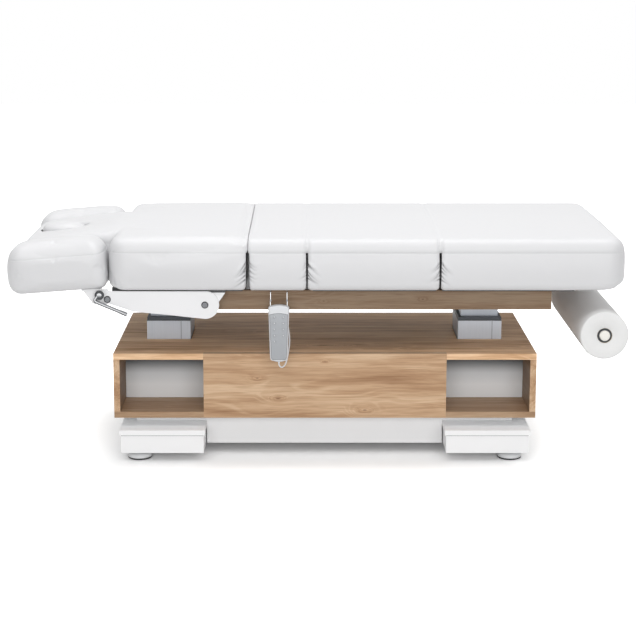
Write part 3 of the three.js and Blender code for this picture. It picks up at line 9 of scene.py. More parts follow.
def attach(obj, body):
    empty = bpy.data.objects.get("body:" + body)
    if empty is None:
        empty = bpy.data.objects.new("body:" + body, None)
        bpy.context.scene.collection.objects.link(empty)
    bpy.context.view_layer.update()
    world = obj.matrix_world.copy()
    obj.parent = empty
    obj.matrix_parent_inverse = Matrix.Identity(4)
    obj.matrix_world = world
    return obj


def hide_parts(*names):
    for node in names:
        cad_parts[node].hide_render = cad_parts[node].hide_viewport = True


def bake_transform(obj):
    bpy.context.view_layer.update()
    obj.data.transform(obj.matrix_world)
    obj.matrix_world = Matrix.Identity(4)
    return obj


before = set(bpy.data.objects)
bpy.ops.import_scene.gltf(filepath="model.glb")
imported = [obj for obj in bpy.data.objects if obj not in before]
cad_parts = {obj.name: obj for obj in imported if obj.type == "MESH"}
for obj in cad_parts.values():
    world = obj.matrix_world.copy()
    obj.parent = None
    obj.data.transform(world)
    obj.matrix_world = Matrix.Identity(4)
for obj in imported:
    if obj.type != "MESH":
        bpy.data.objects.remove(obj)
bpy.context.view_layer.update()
scene = bpy.context.scene

# Places that several pieces share, in metres of the part's frame
CABINET_MIDDLE = 0.0248174


def at_x(mm):
    """Place along the bed, from its distance to the cabinet's middle in millimetres."""
    return mm / 1000 + CABINET_MIDDLE


CUSHION_LOW, CUSHION_TOP, CUSHION_HALF = 0.583, 0.7415, 0.386
SEAM_Z = 0.700
FOLD_THIGH, FOLD_KNEE = at_x(-58), at_x(360)
SLIT_HALF_MM, LIP_MM = 3.4, 6.0
SEAT_END, BACK_END = at_x(-243.2), at_x(-244.9)
END_SHADE_REACH = 0.0044  # painted shade on the end faces that face each other across the slit
HEAD_JOINT = at_x(-685)
HOLE_X, HOLE_HALF_X, HOLE_HALF_Y = at_x(-874), 0.0790, 0.0525
PAD_FOOT_X, PAD_FOOT_Z, PAD_HEIGHT = at_x(-689), 0.586, 0.149
PAD_SEAM_Z = PAD_FOOT_Z + 0.112
DECK_UNDERSIDE = 0.5705
COLLAR_Z = 0.4150
COLUMN_JOINTS, COLUMN_FRONT = (-0.4539, 0.5861), -0.0690
ROLL_X, ROLL_Z, ROLL_FRONT, ROLL_BACK = at_x(885), 0.431, -0.365, 0.235
ROLL_RADIUS, CORE_RADIUS = 0.07675, 0.024
HANDSET_X, HANDSET_FACE, HANDSET_BACK, HANDSET_TOP = at_x(-147), -0.376, -0.350, 0.532
HANDSET_FOOT = HANDSET_TOP - 0.182
CORD_Y, CORD_RADIUS = -0.363, 0.00225

# Camera
camera_data = bpy.data.cameras.new("camera")
camera_data.lens = 87.003
camera_data.sensor_width = 36
camera_data.shift_x = 0.0201
camera_data.shift_y = -0.15
camera_data.clip_start, camera_data.clip_end = 0.1, 60
camera = bpy.data.objects.new("camera", camera_data)
scene.collection.objects.link(camera)
camera.location = (-0.0388, -5.1027, 1.6077)
camera.rotation_euler = (math.radians(90 - 9.742), 0, 0)
scene.camera = camera


# Mesh helpers
def link(name, data):
    obj = bpy.data.objects.new(name, data)
    scene.collection.objects.link(obj)
    return obj


def add_mesh(name, verts, faces, smooth=True):
    mesh = bpy.data.meshes.new(name)
    mesh.from_pydata([tuple(v) for v in verts], [], faces)
    obj = link(name, mesh)
    tidy_normals(obj)
    shade(obj, smooth)
    return obj


def tidy_normals(obj, merge_distance=None):
    bm = bmesh.new()
    bm.from_mesh(obj.data)
    if merge_distance:
        bmesh.ops.remove_doubles(bm, verts=bm.verts, dist=merge_distance)
    bmesh.ops.recalc_face_normals(bm, faces=bm.faces)
    bm.to_mesh(obj.data)
    bm.free()


def shade(obj, smooth=True):
    obj.data.polygons.foreach_set("use_smooth", [smooth] * len(obj.data.polygons))


def soften(obj, degrees):
    """Smooth shading that keeps edges sharper than the angle."""
    bm = bmesh.new()
    bm.from_mesh(obj.data)
    for edge in bm.edges:
        if len(edge.link_faces) == 2 and edge.calc_face_angle(0) > math.radians(degrees):
            edge.smooth = False
    bm.to_mesh(obj.data)
    bm.free()
    shade(obj)


def read(mesh, what):
    values = np.empty(len(mesh.vertices) * 3)
    mesh.vertices.foreach_get(what, values)
    return values.reshape(-1, 3)


def coords(obj):
    return read(obj.data, "co")


def normals(obj):
    return read(obj.data, "normal")


def put(obj, co):
    obj.data.vertices.foreach_set("co", np.asarray(co, float).ravel())
    obj.data.update()


def apply_modifiers(obj):
    graph = bpy.context.evaluated_depsgraph_get()
    mesh = bpy.data.meshes.new_from_object(obj.evaluated_get(graph))
    old = obj.data
    obj.modifiers.clear()
    obj.data = mesh
    bpy.data.meshes.remove(old)


def cut_away(obj, tool):
    mod = obj.modifiers.new("cut", "BOOLEAN")
    mod.operation = "DIFFERENCE"
    mod.solver = "EXACT"
    mod.object = tool
    apply_modifiers(obj)
    bpy.data.objects.remove(tool)


def merge(name, objs):
    """One mesh out of several, without booleans."""
    bm = bmesh.new()
    for obj in objs:
        bm.from_mesh(obj.data)
        bpy.data.objects.remove(obj)
    mesh = bpy.data.meshes.new(name)
    bm.to_mesh(mesh)
    bm.free()
    return link(name, mesh)


def loft(name, rings, close=True):
    """Skin over rings of equal counts; close fills both ends with a fan."""
    count = len(rings[0])
    verts = [p for ring in rings for p in ring]
    faces = []
    for k in range(len(rings) - 1):
        for i in range(count):
            j = (i + 1) % count
            faces.append((k * count + i, k * count + j, (k + 1) * count + j, (k + 1) * count + i))
    if close:
        for k in (0, len(rings) - 1):
            verts.append(tuple(np.mean(np.array(rings[k]), axis=0)))
            middle = len(verts) - 1
            faces += [(middle, k * count + i, k * count + (i + 1) % count) for i in range(count)]
    return add_mesh(name, verts, faces)


def oval(x, half_x, half_y, z, sides):
    turns = (2 * math.pi * i / sides for i in range(sides))
    return [(x + half_x * math.cos(a), half_y * math.sin(a), z) for a in turns]


def lathe(name, profile, centre, axis="Z", sides=64, close=True):
    """Turned piece: profile of (radius, height) pairs, ends on the axis or closed by a fan."""
    x, y, z = centre
    turns = [2 * math.pi * i / sides for i in range(sides)]
    rings = []
    for radius, h in profile:
        r = max(radius, 1e-5)
        circle = [(r * math.cos(a), r * math.sin(a)) for a in turns]
        if axis == "Z":
            rings.append([(x + c, y + s, z + h) for c, s in circle])
        elif axis == "Y":
            rings.append([(x + c, y + h, z + s) for c, s in circle])
        else:
            rings.append([(x + h, y + c, z + s) for c, s in circle])
    return loft(name, rings, close)


def tube(name, points, radius, sides=20):
    """Round bar along points, with flat ends; radius is one number or one for each point."""
    pts = [Vector(p) for p in points]
    rings = []
    tangent = (pts[1] - pts[0]).normalized()
    normal = Vector((0, 1, 0)) if abs(tangent.x) > 0.5 else Vector((1, 0, 0))
    normal = (normal - tangent * normal.dot(tangent)).normalized()
    for i, p in enumerate(pts):
        ahead = (pts[min(i + 1, len(pts) - 1)] - pts[max(i - 1, 0)]).normalized()
        normal = (tangent.rotation_difference(ahead) @ normal).normalized()
        tangent = ahead
        side = tangent.cross(normal)
        r = radius[i] if hasattr(radius, "__len__") else radius
        rings.append([tuple(p + normal * r * math.cos(a) + side * r * math.sin(a))
                      for a in (2 * math.pi * k / sides for k in range(sides))])
    return loft(name, rings)


def round_corner(before, here, after, bend, steps):
    """Quadratic curve that takes the place of a corner."""
    a = here + (before - here).normalized() * bend
    b = here + (after - here).normalized() * bend
    shares = [k / steps for k in range(steps + 1)]
    return [a * (1 - t) ** 2 + here * 2 * t * (1 - t) + b * t * t for t in shares]


def bend_path(corners, bend, steps=10):
    points = [Vector(corner) for corner in corners]
    path = points[:1]
    for before, here, after in zip(points, points[1:], points[2:]):
        path += round_corner(before, here, after, bend, steps)
    return path + points[-1:]


def outline_solid(name, points, y0, y1, bevel=0.0, segments=3):
    """Flat outline in X and Z, thick along Y, with rounded rims."""
    points = [Vector((p[0], p[1])) for p in points]
    area = sum(a.x * b.y - b.x * a.y for a, b in zip(points, points[1:] + points[:1]))
    if area < 0:
        points.reverse()
    inward = []
    for before, here, after in zip(points[-1:] + points, points, points[1:] + points[:1]):
        e1, e2 = (here - before).normalized(), (after - here).normalized()
        n1, n2 = Vector((-e1.y, e1.x)), Vector((-e2.y, e2.x))
        d = n1 + n2
        inward.append(d.normalized() / max(d.normalized().dot(n1), 0.5) if d.length > 1e-6 else n1)
    levels = [(y0, 0), (y1, 0)]
    if bevel > 0:
        turns = [math.pi / 2 * k / segments for k in range(segments + 1)]
        levels = [(y0 + bevel * (1 - math.cos(a)), bevel * (1 - math.sin(a))) for a in turns]
        levels += [(y1 - (y - y0), inset) for y, inset in reversed(levels)]
    return loft(name, [[(p.x + d.x * inset, y, p.y + d.y * inset) for p, d in zip(points, inward)]
                       for y, inset in levels])


def rounded_rect(x0, x1, z0, z1, r, steps=6):
    pts = []
    for cx, cz, start in ((x1 - r, z1 - r, 0), (x0 + r, z1 - r, 1), (x0 + r, z0 + r, 2), (x1 - r, z0 + r, 3)):
        for k in range(steps + 1):
            a = (start + k / steps) * math.pi / 2
            pts.append((cx + r * math.cos(a), cz + r * math.sin(a)))
    return pts


# Material helpers
def lin(r, g, b):
    """Linear colour of an 8-bit screen tone."""
    def one(c):
        c /= 255
        return c / 12.92 if c <= 0.04045 else ((c + 0.055) / 1.055) ** 2.4
    return (one(r), one(g), one(b), 1)


class Tree:
    """Short calls for the shader nodes of one node tree."""

    def __init__(self, tree):
        self.nodes, self.links = tree.nodes, tree.links

    def set(self, node, key, value):
        if hasattr(value, "is_output"):
            self.links.new(value, node.inputs[key])
        else:
            node.inputs[key].default_value = value

    def node(self, kind, operation=None, **inputs):
        made = self.nodes.new(kind)
        if operation:
            made.operation = operation
        for key, value in inputs.items():
            self.set(made, key.replace("_", " "), value)
        return made

    def attribute(self, name):
        source = self.nodes.new("ShaderNodeAttribute")
        source.attribute_name = name
        return source

    def place(self, scale=(1, 1, 1), offset=(0, 0, 0), rest=False):
        """Object place, or for a soft piece the place it had before it bends."""
        if rest:
            vector = self.attribute("rest").outputs["Vector"]
        else:
            vector = self.nodes.new("ShaderNodeTexCoord").outputs["Object"]
        return self.node("ShaderNodeMapping", Vector=vector, Scale=scale, Location=offset).outputs["Vector"]

    def axis(self, vector, which):
        return self.node("ShaderNodeSeparateXYZ", Vector=vector).outputs[which]

    def slope(self, which):
        return self.axis(self.nodes.new("ShaderNodeTexCoord").outputs["Normal"], which)

    def noise(self, vector, scale, detail=2.0, rough=0.5):
        cloud = self.node("ShaderNodeTexNoise", Vector=vector, Scale=scale, Detail=detail, Roughness=rough)
        return cloud.outputs["Fac"]

    def voronoi(self, vector, scale, feature="DISTANCE_TO_EDGE"):
        cells = self.node("ShaderNodeTexVoronoi", Vector=vector, Scale=scale)
        cells.feature = feature
        return cells.outputs["Distance"]

    def ramp(self, fac, stops):
        made = self.node("ShaderNodeValToRGB", Fac=fac)
        marks = made.color_ramp.elements
        while len(marks) < len(stops):
            marks.new(0.5)
        for mark, (position, color) in zip(marks, stops):
            mark.position = position
            mark.color = color if hasattr(color, "__len__") else (color, color, color, 1)
        return made.outputs["Color"]

    def math(self, operation, a, b=0.0):
        made = self.node("ShaderNodeMath", operation)
        self.set(made, 0, a)
        self.set(made, 1, b)
        return made.outputs[0]

    def times(self, first, *others):
        for other in others:
            first = self.math("MULTIPLY", first, other)
        return first

    def plus(self, first, *others):
        for other in others:
            first = self.math("ADD", first, other)
        return first

    def minus(self, a, b):
        return self.math("SUBTRACT", a, b)

    def above(self, value, limit):
        return self.math("GREATER_THAN", value, limit)

    def below(self, value, limit):
        return self.math("LESS_THAN", value, limit)

    def vector(self, operation, *values):
        made = self.node("ShaderNodeVectorMath", operation)
        for k, value in enumerate(values):
            self.set(made, k, value)
        return made.outputs["Value" if operation == "LENGTH" else "Vector"]

    def mix(self, fac, a, b, mode="MIX"):
        made = self.nodes.new("ShaderNodeMix")
        made.data_type = "RGBA"
        made.blend_type = mode
        for key, kind, value in (("Factor", "VALUE", fac), ("A", "RGBA", a), ("B", "RGBA", b)):
            index = [s.name == key and s.type == kind for s in made.inputs].index(True)
            self.set(made, index, value)
        return [s for s in made.outputs if s.type == "RGBA"][0]

    def span(self, value, low, high, start=0.0, end=1.0):
        """Takes start to end over to low to high, held at both ends."""
        return self.node("ShaderNodeMapRange", Value=value, From_Min=start, From_Max=end,
                         To_Min=low, To_Max=high).outputs[0]

    def window(self, value, centre, half, soft):
        """1 near a value, 0 away from it."""
        away = self.math("ABSOLUTE", self.minus(value, centre))
        return self.span(away, 0.0, 1.0, half + soft, half)

    def bump(self, height, strength, distance, normal=None):
        made = self.node("ShaderNodeBump", Height=height, Strength=strength, Distance=distance)
        if normal is not None:
            self.set(made, "Normal", normal)
        return made.outputs["Normal"]

    def plain_rays(self):
        """1 for camera, glossy and transmission rays, which see the ground and the sky in plain white."""
        rays = self.nodes.new("ShaderNodeLightPath").outputs
        passed_on = self.math("MAXIMUM", rays["Is Glossy Ray"], rays["Is Transmission Ray"])
        return self.math("MAXIMUM", rays["Is Camera Ray"], passed_on)

    def choose(self, fac, a, b):
        made = self.nodes.new("ShaderNodeMixShader")
        for k, value in enumerate((fac, a, b)):
            self.set(made, k, value)
        return made.outputs[0]


class Mat(Tree):
    """A material on one principled shader."""

    def __init__(self, name, color, roughness=0.5, metallic=0.0, specular=0.5, coat=0.0, coat_roughness=0.1):
        self.mat = bpy.data.materials.new(name)
        self.mat.use_nodes = True
        super().__init__(self.mat.node_tree)
        self.bsdf = self.nodes["Principled BSDF"]
        for key, value in (("Base Color", color), ("Roughness", roughness), ("Metallic", metallic),
                           ("Specular IOR Level", specular), ("Coat Weight", coat),
                           ("Coat Roughness", coat_roughness)):
            self.set(self.bsdf, key, value)

    def use(self, color, roughness, normal):
        for key, value in (("Base Color", color), ("Roughness", roughness), ("Normal", normal)):
            self.set(self.bsdf, key, value)
        return self.mat

    def coated(self, color, here, smoothest, roughest):
        """Sprayed coat: roughness in soft patches and a faint orange peel."""
        return self.use(color, self.span(self.noise(here, 40, 3), smoothest, roughest),
                        self.bump(self.noise(here, 900, 2), 0.08, 0.0004))


# Materials
def leatherette(name, seam_z=SEAM_Z, slits=(), ends=(), hole_shade_top=None):
    """White upholstery sheet: pebble grain, soft waves, sewn seam; painted shade along the seam and in the
    pleats, and near-black painted shade in the slits, on the facing end faces and in the face hole.
    """
    m = Mat(name, (0.80, 0.80, 0.81, 1), 0.42, coat=0.10, coat_roughness=0.32)
    rest = m.place(rest=True)
    x, y, z = (m.axis(rest, k) for k in "XYZ")
    cloud = m.times(m.noise(rest, 3.5, 3, 0.6), 0.5)
    color = m.mix(cloud, (0.662, 0.662, 0.674, 1), (0.694, 0.694, 0.703, 1))
    waves = m.bump(m.noise(rest, 9, 2, 0.45), 0.25, 0.004)
    normal = m.bump(m.math("MINIMUM", m.voronoi(rest, 620), 0.5), 0.16, 0.0004, waves)
    if seam_z:
        seam = m.window(z, seam_z, 0.0005, 0.0012)
        stitch = m.above(m.math("FRACT", m.times(x, 250.0)), 0.35)
        thread = m.times(m.window(z, seam_z + 0.0034, 0.0004, 0.0004), stitch)
        # painted shade: the seam line is darkened a little along its groove
        color = m.mix(m.times(seam, 0.09), color, (0.42, 0.42, 0.44, 1))
        # painted shadow along the pleats, from the attribute the pleat cutter stores
        color = m.mix(m.times(m.attribute("pleats_and_painted_shade").outputs["Fac"], 0.85), color, (0.05, 0.05, 0.053, 1))
        normal = m.bump(m.minus(thread, seam), 0.35, 0.0008, normal)
    if hole_shade_top:
        reach = [m.times(m.minus(x, HOLE_X), 1 / (HOLE_HALF_X + 0.0005)),
                 m.times(y, 1 / (HOLE_HALF_Y + 0.0005))]
        inside = m.below(m.plus(*(m.times(r, r) for r in reach)), 1.03)
        # painted shade: the face hole's wall below its rim is near black
        color = m.mix(m.times(inside, m.below(z, hole_shade_top)), color, (0.02, 0.02, 0.021, 1))
    # painted shade: near black on the slit walls and on the facing end faces, below the seam
    slit_shade = [m.window(x, slit, 0.0032, 0.0006) for slit in slits]
    slit_shade += [m.above(x, edge) if hand > 0 else m.below(x, edge) for edge, hand in ends]
    for part in slit_shade:
        color = m.mix(m.times(part, m.below(z, SEAM_Z)), color, (0.012, 0.012, 0.013, 1))
    return m.use(color, m.span(m.noise(rest, 60, 3), 0.36, 0.47), normal)


def wood(name, grain="X", offset=(0, 0, 0), knots=(), painted_light_by=1.0, gloss=0.35, painted_shade_inside=False, backed=False):
    """Oak-look board: long streaks that part round a few knots, fine pores; a factor scales its tones as
    painted light and shade for where it sits, one flag paints shade on the faces towards the middle, backed
    puts a white sheet on the underside."""
    m = Mat(name, (0.5, 0.33, 0.19, 1), 0.5, specular=gloss)
    along = "XYZ".index(grain)

    # wood tone times the factor of painted light and shade
    def tone_in_painted_light(*rgb):
        return tuple(painted_light_by * c / (1 + 0.1 * max(0.0, painted_light_by - 1)) for c in lin(*rgb)[:3]) + (1,)

    def stretched(length, width):
        return m.place(tuple(length if k == along else width for k in range(3)), offset)

    swirl = m.node("ShaderNodeTexNoise", Vector=stretched(2.4, 6.5), Scale=1.0, Detail=2).outputs["Color"]
    spots = m.voronoi(stretched(1.5, 7.0), 1.0, "F1")
    rings = m.ramp(spots, [(0.0, 1.0), (0.10, 0.55), (0.24, 0.1), (0.4, 0.0)])
    for knot_x, knot_z, size in knots:
        long = 2.2 * size
        away = m.vector("LENGTH", m.place((1 / long, 0.0, 1 / size), (-knot_x / long, 0, -knot_z / size)))
        near = m.ramp(m.times(away, 0.25), [(0.0, 1.0), (0.12, 0.7), (0.4, 0.14), (0.9, 0.0)])
        rings = m.math("MAXIMUM", rings, near)

    def grain_noise(length, width, bend, detail, rough):
        bent = m.vector("MULTIPLY_ADD", swirl, (bend, bend, bend), stretched(length, width))
        parted = m.vector("MULTIPLY_ADD", rings, (0.25 * bend, 1.1 * bend, 1.1 * bend), bent)
        return m.noise(parted, 1.0, detail, rough)

    broad = grain_noise(1.3, 13, 0.5, 2, 0.5)
    streak = grain_noise(2.6, 46, 1.3, 4, 0.6)
    fibre = grain_noise(7, 210, 2.2, 3, 0.6)
    pore = m.ramp(grain_noise(16, 640, 3.0, 1, 0.5), [(0.0, 0.0), (0.36, 0.0), (0.47, 1.0), (1.0, 1.0)])
    bands = m.span(m.math("SINE", m.times(grain_noise(0.9, 7.5, 0.9, 1, 0.4), 150.0)), 0.0, 1.0)
    patch = m.ramp(m.noise(stretched(2.2, 9), 1.0, 1), [(0.0, 0.0), (0.52, 0.0), (0.66, 1.0), (1.0, 1.0)])
    tone = m.plus(m.times(broad, 0.34), m.times(streak, 0.40), m.times(fibre, 0.26),
                  m.times(bands, patch, 0.07))
    color = m.ramp(m.minus(tone, m.times(rings, 0.05)), [
        (0.34, tone_in_painted_light(150, 112, 80)), (0.43, tone_in_painted_light(178, 141, 107)),
        (0.51, tone_in_painted_light(197, 162, 128)), (0.60, tone_in_painted_light(214, 183, 150))])
    core = m.ramp(rings, [(0.0, 0.0), (0.72, 0.0), (0.93, 0.7), (1.0, 1.0)])
    color = m.mix(m.times(core, 0.72), color, tone_in_painted_light(104, 70, 46))
    color = m.mix(m.times(m.minus(1.0, pore), 0.20), color, tone_in_painted_light(132, 96, 66))
    # painted shade on the faces that look towards the middle
    if painted_shade_inside:
        inner = m.below(m.times(m.axis(m.place(), "X"), m.slope("X")), -0.1)
        color = m.mix(m.times(inner, 0.62), color, lin(52, 34, 20))
    if backed:
        color = m.mix(m.below(m.slope("Z"), -0.5), color, (0.88, 0.885, 0.89, 1))
    normal = m.bump(m.plus(pore, m.times(fibre, 0.5)), 0.16, 0.0003)
    return m.use(color, m.span(fibre, 0.42, 0.6), normal)


def powder(name, color, roughness=0.42, gloss=0.5, shade_line=None):
    """Powder-coated steel: a little wear of tone, and dark painted shade from a given height up, under a
    cover's overhang.
    """
    m = Mat(name, color, roughness, specular=gloss)
    here = m.place()
    worn = tuple(c * 0.965 for c in color[:3]) + (1,)
    tone = m.mix(m.noise(here, 6, 3, 0.6), worn, color)
    # painted shade: dark from this height up, in the gap under the cover's overhang
    if shade_line:
        tone = m.mix(m.above(m.axis(here, "Z"), shade_line), tone, (0.20, 0.20, 0.21, 1))
    return m.coated(tone, here, roughness - 0.05, roughness + 0.06)


def plastic(name, color, roughness=0.38, coat=0.0):
    m = Mat(name, color, roughness, coat=coat)
    here = m.place()
    tint = tuple(c * 0.97 for c in color[:3]) + (1,)
    rough = m.span(m.noise(here, 90, 2), roughness - 0.04, roughness + 0.05)
    grain = m.bump(m.noise(here, 1400, 1), 0.06, 0.0003)
    return m.use(m.mix(m.noise(here, 18, 2), tint, color), rough, grain)


def slope_lit_metal(name, tint, roughness, by_height, by_flank, **finish):
    """Metal with a painted reflection of a room's horizon: its tone follows its own slope."""
    m = Mat(name, tint, roughness[0], **finish)
    lines = m.noise(m.place(), 160, 3, 0.6)
    # painted reflection: the tone follows the slope of each face
    band = m.ramp(m.span(m.slope("Z"), 0.0, 1.0, -1.0, 1.0), by_height)
    flank = m.ramp(m.math("ABSOLUTE", m.slope("X")), by_flank)
    tone = m.mix(1.0, tint, m.mix(1.0, band, flank, "MULTIPLY"), "MULTIPLY")
    return m.use(tone, m.span(lines, *roughness), m.bump(lines, 0.02, 0.0003))


# Chrome with painted reflection: bands of light and dark by slope
def chrome_with_painted_reflection():
    return slope_lit_metal("chrome", (0.82, 0.83, 0.85, 1), (0.07, 0.21),
                       [(0.0, 0.40), (0.30, 0.20), (0.43, 0.26), (0.49, 0.95), (0.66, 0.85), (0.75, 0.30),
                        (0.9, 0.34), (1.0, 0.7)],
                       [(0.0, 1.0), (0.45, 0.95), (0.62, 0.34), (1.0, 0.26)], metallic=1.0)


def rod_with_painted_light():
    """Painted light along the middle and painted shade towards the edges, by slope."""
    return slope_lit_metal("rod_metal", (1, 1, 1, 1), (0.3, 0.42),
                       [(0.0, lin(96, 98, 102)), (0.42, lin(92, 94, 98)), (0.52, lin(222, 223, 225)),
                        (0.64, lin(232, 233, 235)), (0.75, lin(112, 114, 118)), (1.0, lin(140, 142, 146))],
                       [(0.0, 1.0), (0.4, 1.0), (0.62, lin(150, 151, 153)), (1.0, lin(128, 129, 131))],
                       specular=0.3)


def deck_material():
    """Upholstery board painted black as painted shade under the cushion's edge; white-coated brackets below
    it.
    """
    m = Mat("deck_painted_shade_and_coat", (0.03, 0.03, 0.03, 1), 0.45)
    here = m.place()
    # black above the underside is painted shade; the white below is the brackets' coat
    board = m.above(m.axis(here, "Z"), DECK_UNDERSIDE)
    return m.coated(m.mix(board, (0.86, 0.86, 0.87, 1), (0.030, 0.031, 0.034, 1)), here, 0.4, 0.5)


def niche_sheet():
    """Back sheet of an open niche: brushed grey coat, with painted light near the shelf and painted shade
    towards the top board.
    """
    m = Mat("niche_sheet", lin(200, 200, 201), 0.5)
    here = m.place()
    # painted light and shade by height: light near the shelf, dark under the top board
    height = m.span(m.axis(here, "Z"), 0.0, 1.0, 0.205, 0.335)
    color = m.ramp(height, [(0.0, lin(240, 244, 247)), (0.3, lin(214, 219, 223)),
                            (0.62, lin(84, 89, 93)), (1.0, lin(60, 64, 68))])
    color = m.mix(m.times(m.noise(here, 6, 3, 0.6), 0.08), color, lin(150, 150, 152))
    return m.coated(color, here, 0.45, 0.55)


def column_material(name, joints=()):
    """Silver anodised extrusion; the outer tube has painted shade lines in its joint grooves on its front, a
    dark collar at its rim and a painted-light grey on its upward faces.
    """
    m = Mat(name, lin(224, 226, 232), 0.45, metallic=0.25)
    here = m.place()
    lines = m.noise(m.place((1, 1, 0.015)), 700, 3, 0.6)
    color = m.mix(lines, lin(192, 199, 209), lin(210, 216, 224))
    front = m.below(m.axis(here, "Y"), COLUMN_FRONT)
    # painted shade in the joint grooves, on the front only
    for joint in joints:
        shade_line = m.window(m.axis(here, "X"), joint, 0.0006, 0.0006)
        color = m.mix(m.times(shade_line, front), color, lin(120, 124, 132))
    if joints:
        color = m.mix(m.above(m.axis(here, "Z"), COLLAR_Z), color, lin(66, 71, 77))
        # painted light: upward-facing faces take a mid grey by slope
        color = m.mix(m.above(m.slope("Z"), 0.7), color, lin(104, 109, 116))
    return m.use(color, m.span(lines, 0.40, 0.52), m.bump(lines, 0.05, 0.0003))


def foot_material():
    """Levelling foot: white moulded disc, black rubber rim, zinc-plated stem."""
    m = Mat("foot_plastic", lin(236, 237, 238), 0.4)
    here = m.place()
    z = m.axis(here, "Z")
    disc = m.mix(m.noise(here, 30, 2), lin(228, 229, 230), lin(240, 241, 242))
    color = m.mix(m.below(z, 0.0058), disc, lin(24, 24, 26))
    color = m.mix(m.above(z, 0.024), color, lin(150, 152, 156))
    grain = m.bump(m.noise(here, 1100, 1), 0.06, 0.0003)
    return m.use(color, m.span(m.noise(here, 200, 2), 0.34, 0.5), grain)


def paper_material():
    """Soft crepe paper: fine creping round the roll, wound layers on the end face."""
    m = Mat("paper", (0.86, 0.86, 0.855, 1), 0.9, specular=0.15)
    here = m.place(offset=(-ROLL_X, 0, -ROLL_Z))
    x, z = m.axis(here, "X"), m.axis(here, "Z")
    radius = m.math("SQRT", m.plus(m.times(x, x), m.times(z, z)))
    layers = m.math("SINE", m.times(radius, 4200.0))
    wander = m.noise(here, 70, 3, 0.6)
    end_face = m.below(radius, ROLL_RADIUS - 0.00075)
    sheet = m.mix(wander, (0.84, 0.84, 0.835, 1), (0.88, 0.88, 0.875, 1))
    color = m.mix(m.times(m.span(layers, 0, 1), end_face, 0.10), sheet, (0.55, 0.55, 0.55, 1))
    crepe = m.noise(m.place((1, 0.12, 1)), 900, 2, 0.6)
    height = m.plus(m.times(crepe, 0.6), m.times(layers, end_face, 0.4))
    return m.use(color, m.span(wander, 0.85, 0.95), m.bump(height, 0.3, 0.0006))


def cardboard():
    m = Mat("core_board", lin(178, 160, 132), 0.85, specular=0.2)
    fibre = m.noise(m.place(), 300, 4, 0.7)
    color = m.mix(fibre, lin(160, 142, 114), lin(194, 178, 150))
    return m.use(color, m.span(fibre, 0.8, 0.92), m.bump(fibre, 0.2, 0.0003))


# The base's white is lighter than the frame's white steel: painted light on the base
BASE_WHITE = (0.985, 0.985, 0.99, 1)
FRONT_KNOTS = ((-0.127, 0.204, 0.010), (0.154, 0.165, 0.009), (-0.194, 0.272, 0.006), (0.025, 0.327, 0.005))
APRON_KNOTS = ((0.335, 0.541, 0.006), (0.02, 0.535, 0.004))
MATS = {
    "leather": leatherette("leatherette_legs", slits=(FOLD_THIGH, FOLD_KNEE),
                           ends=((SEAT_END + END_SHADE_REACH, -1),)),
    "leather_back": leatherette("leatherette_back", ends=((BACK_END - END_SHADE_REACH, 1),), hole_shade_top=0.7075),
    "leather_pad": leatherette("leatherette_pad", seam_z=PAD_SEAM_Z),
    "leather_plain": leatherette("leatherette_plain", seam_z=None),
    "wood_front": wood("wood_front", "X", (0.3, 0.0, 2.1), FRONT_KNOTS),
    # The top board is painted lighter, the shelf, apron and partitions darker: painted light and shade for
    # where each board sits
    "wood_top": wood("wood_top", "X", (1.7, 4.3, 0.4), painted_light_by=1.5, gloss=0.10),
    "wood_shelf": wood("wood_shelf", "X", (2.9, 4.3, 0.4), painted_light_by=0.72, backed=True),
    "wood_apron": wood("wood_apron", "X", (3.9, 1.2, 5.3), APRON_KNOTS, 0.40),
    "wood_side": wood("wood_side", "Y", (0.8, 2.2, 1.0), painted_shade_inside=True),
    "wood_inner": wood("wood_inner", "Y", (5.8, 0.2, 3.0), painted_light_by=0.36),
    "white_steel": powder("white_powder_coat", (0.84, 0.84, 0.85, 1)),
    "plinth": powder("plinth_powder_coat", BASE_WHITE, gloss=0.22),
    # the foot box takes painted shade from the height given up, under its cover
    "foot_box": powder("foot_powder_coat", BASE_WHITE, gloss=0.22, shade_line=0.0876),
    "black_steel": powder("black_satin", (0.035, 0.036, 0.039, 1), 0.45),
    "deck": deck_material(),
    "niche_panel": niche_sheet(),
    "column": column_material("column_silver", COLUMN_JOINTS),
    "column_inner": column_material("inner_column_silver"),
    "chrome": chrome_with_painted_reflection(),
    "rod_metal": rod_with_painted_light(),
    "foot": foot_material(),
    "paper": paper_material(),
    "board": cardboard(),
    "zinc": plastic("zinc_bolt", lin(128, 130, 134), 0.35),
    "white_plastic": plastic("white_plastic", lin(233, 235, 237), 0.36, coat=0.15),
    "handset_plastic": plastic("handset_plastic", lin(216, 218, 221), 0.36, coat=0.15),
    "grey_plastic": plastic("keypad_film", lin(166, 169, 173), 0.42),
    "cord": plastic("cord_jacket", lin(226, 227, 229), 0.45),
    "cream": plastic("cream_cap", lin(240, 238, 230), 0.4),
    "dark": plastic("dark_plastic", lin(44, 46, 50), 0.5),
    "mark": plastic("key_mark", (0.9, 0.9, 0.9, 1), 0.5),
}


def paint(obj, key):
    obj.data.materials.clear()
    obj.data.materials.append(MATS[key])


def finish_piece(obj, body, material, slot, *nodes, sharp=None):
    """Paints a piece, ties it to its body and, with sharp, keeps edges sharper than that angle."""
    paint(obj, material)
    if nodes:
        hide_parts(*nodes)
    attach(obj, body)
    if sharp:
        soften(obj, sharp)


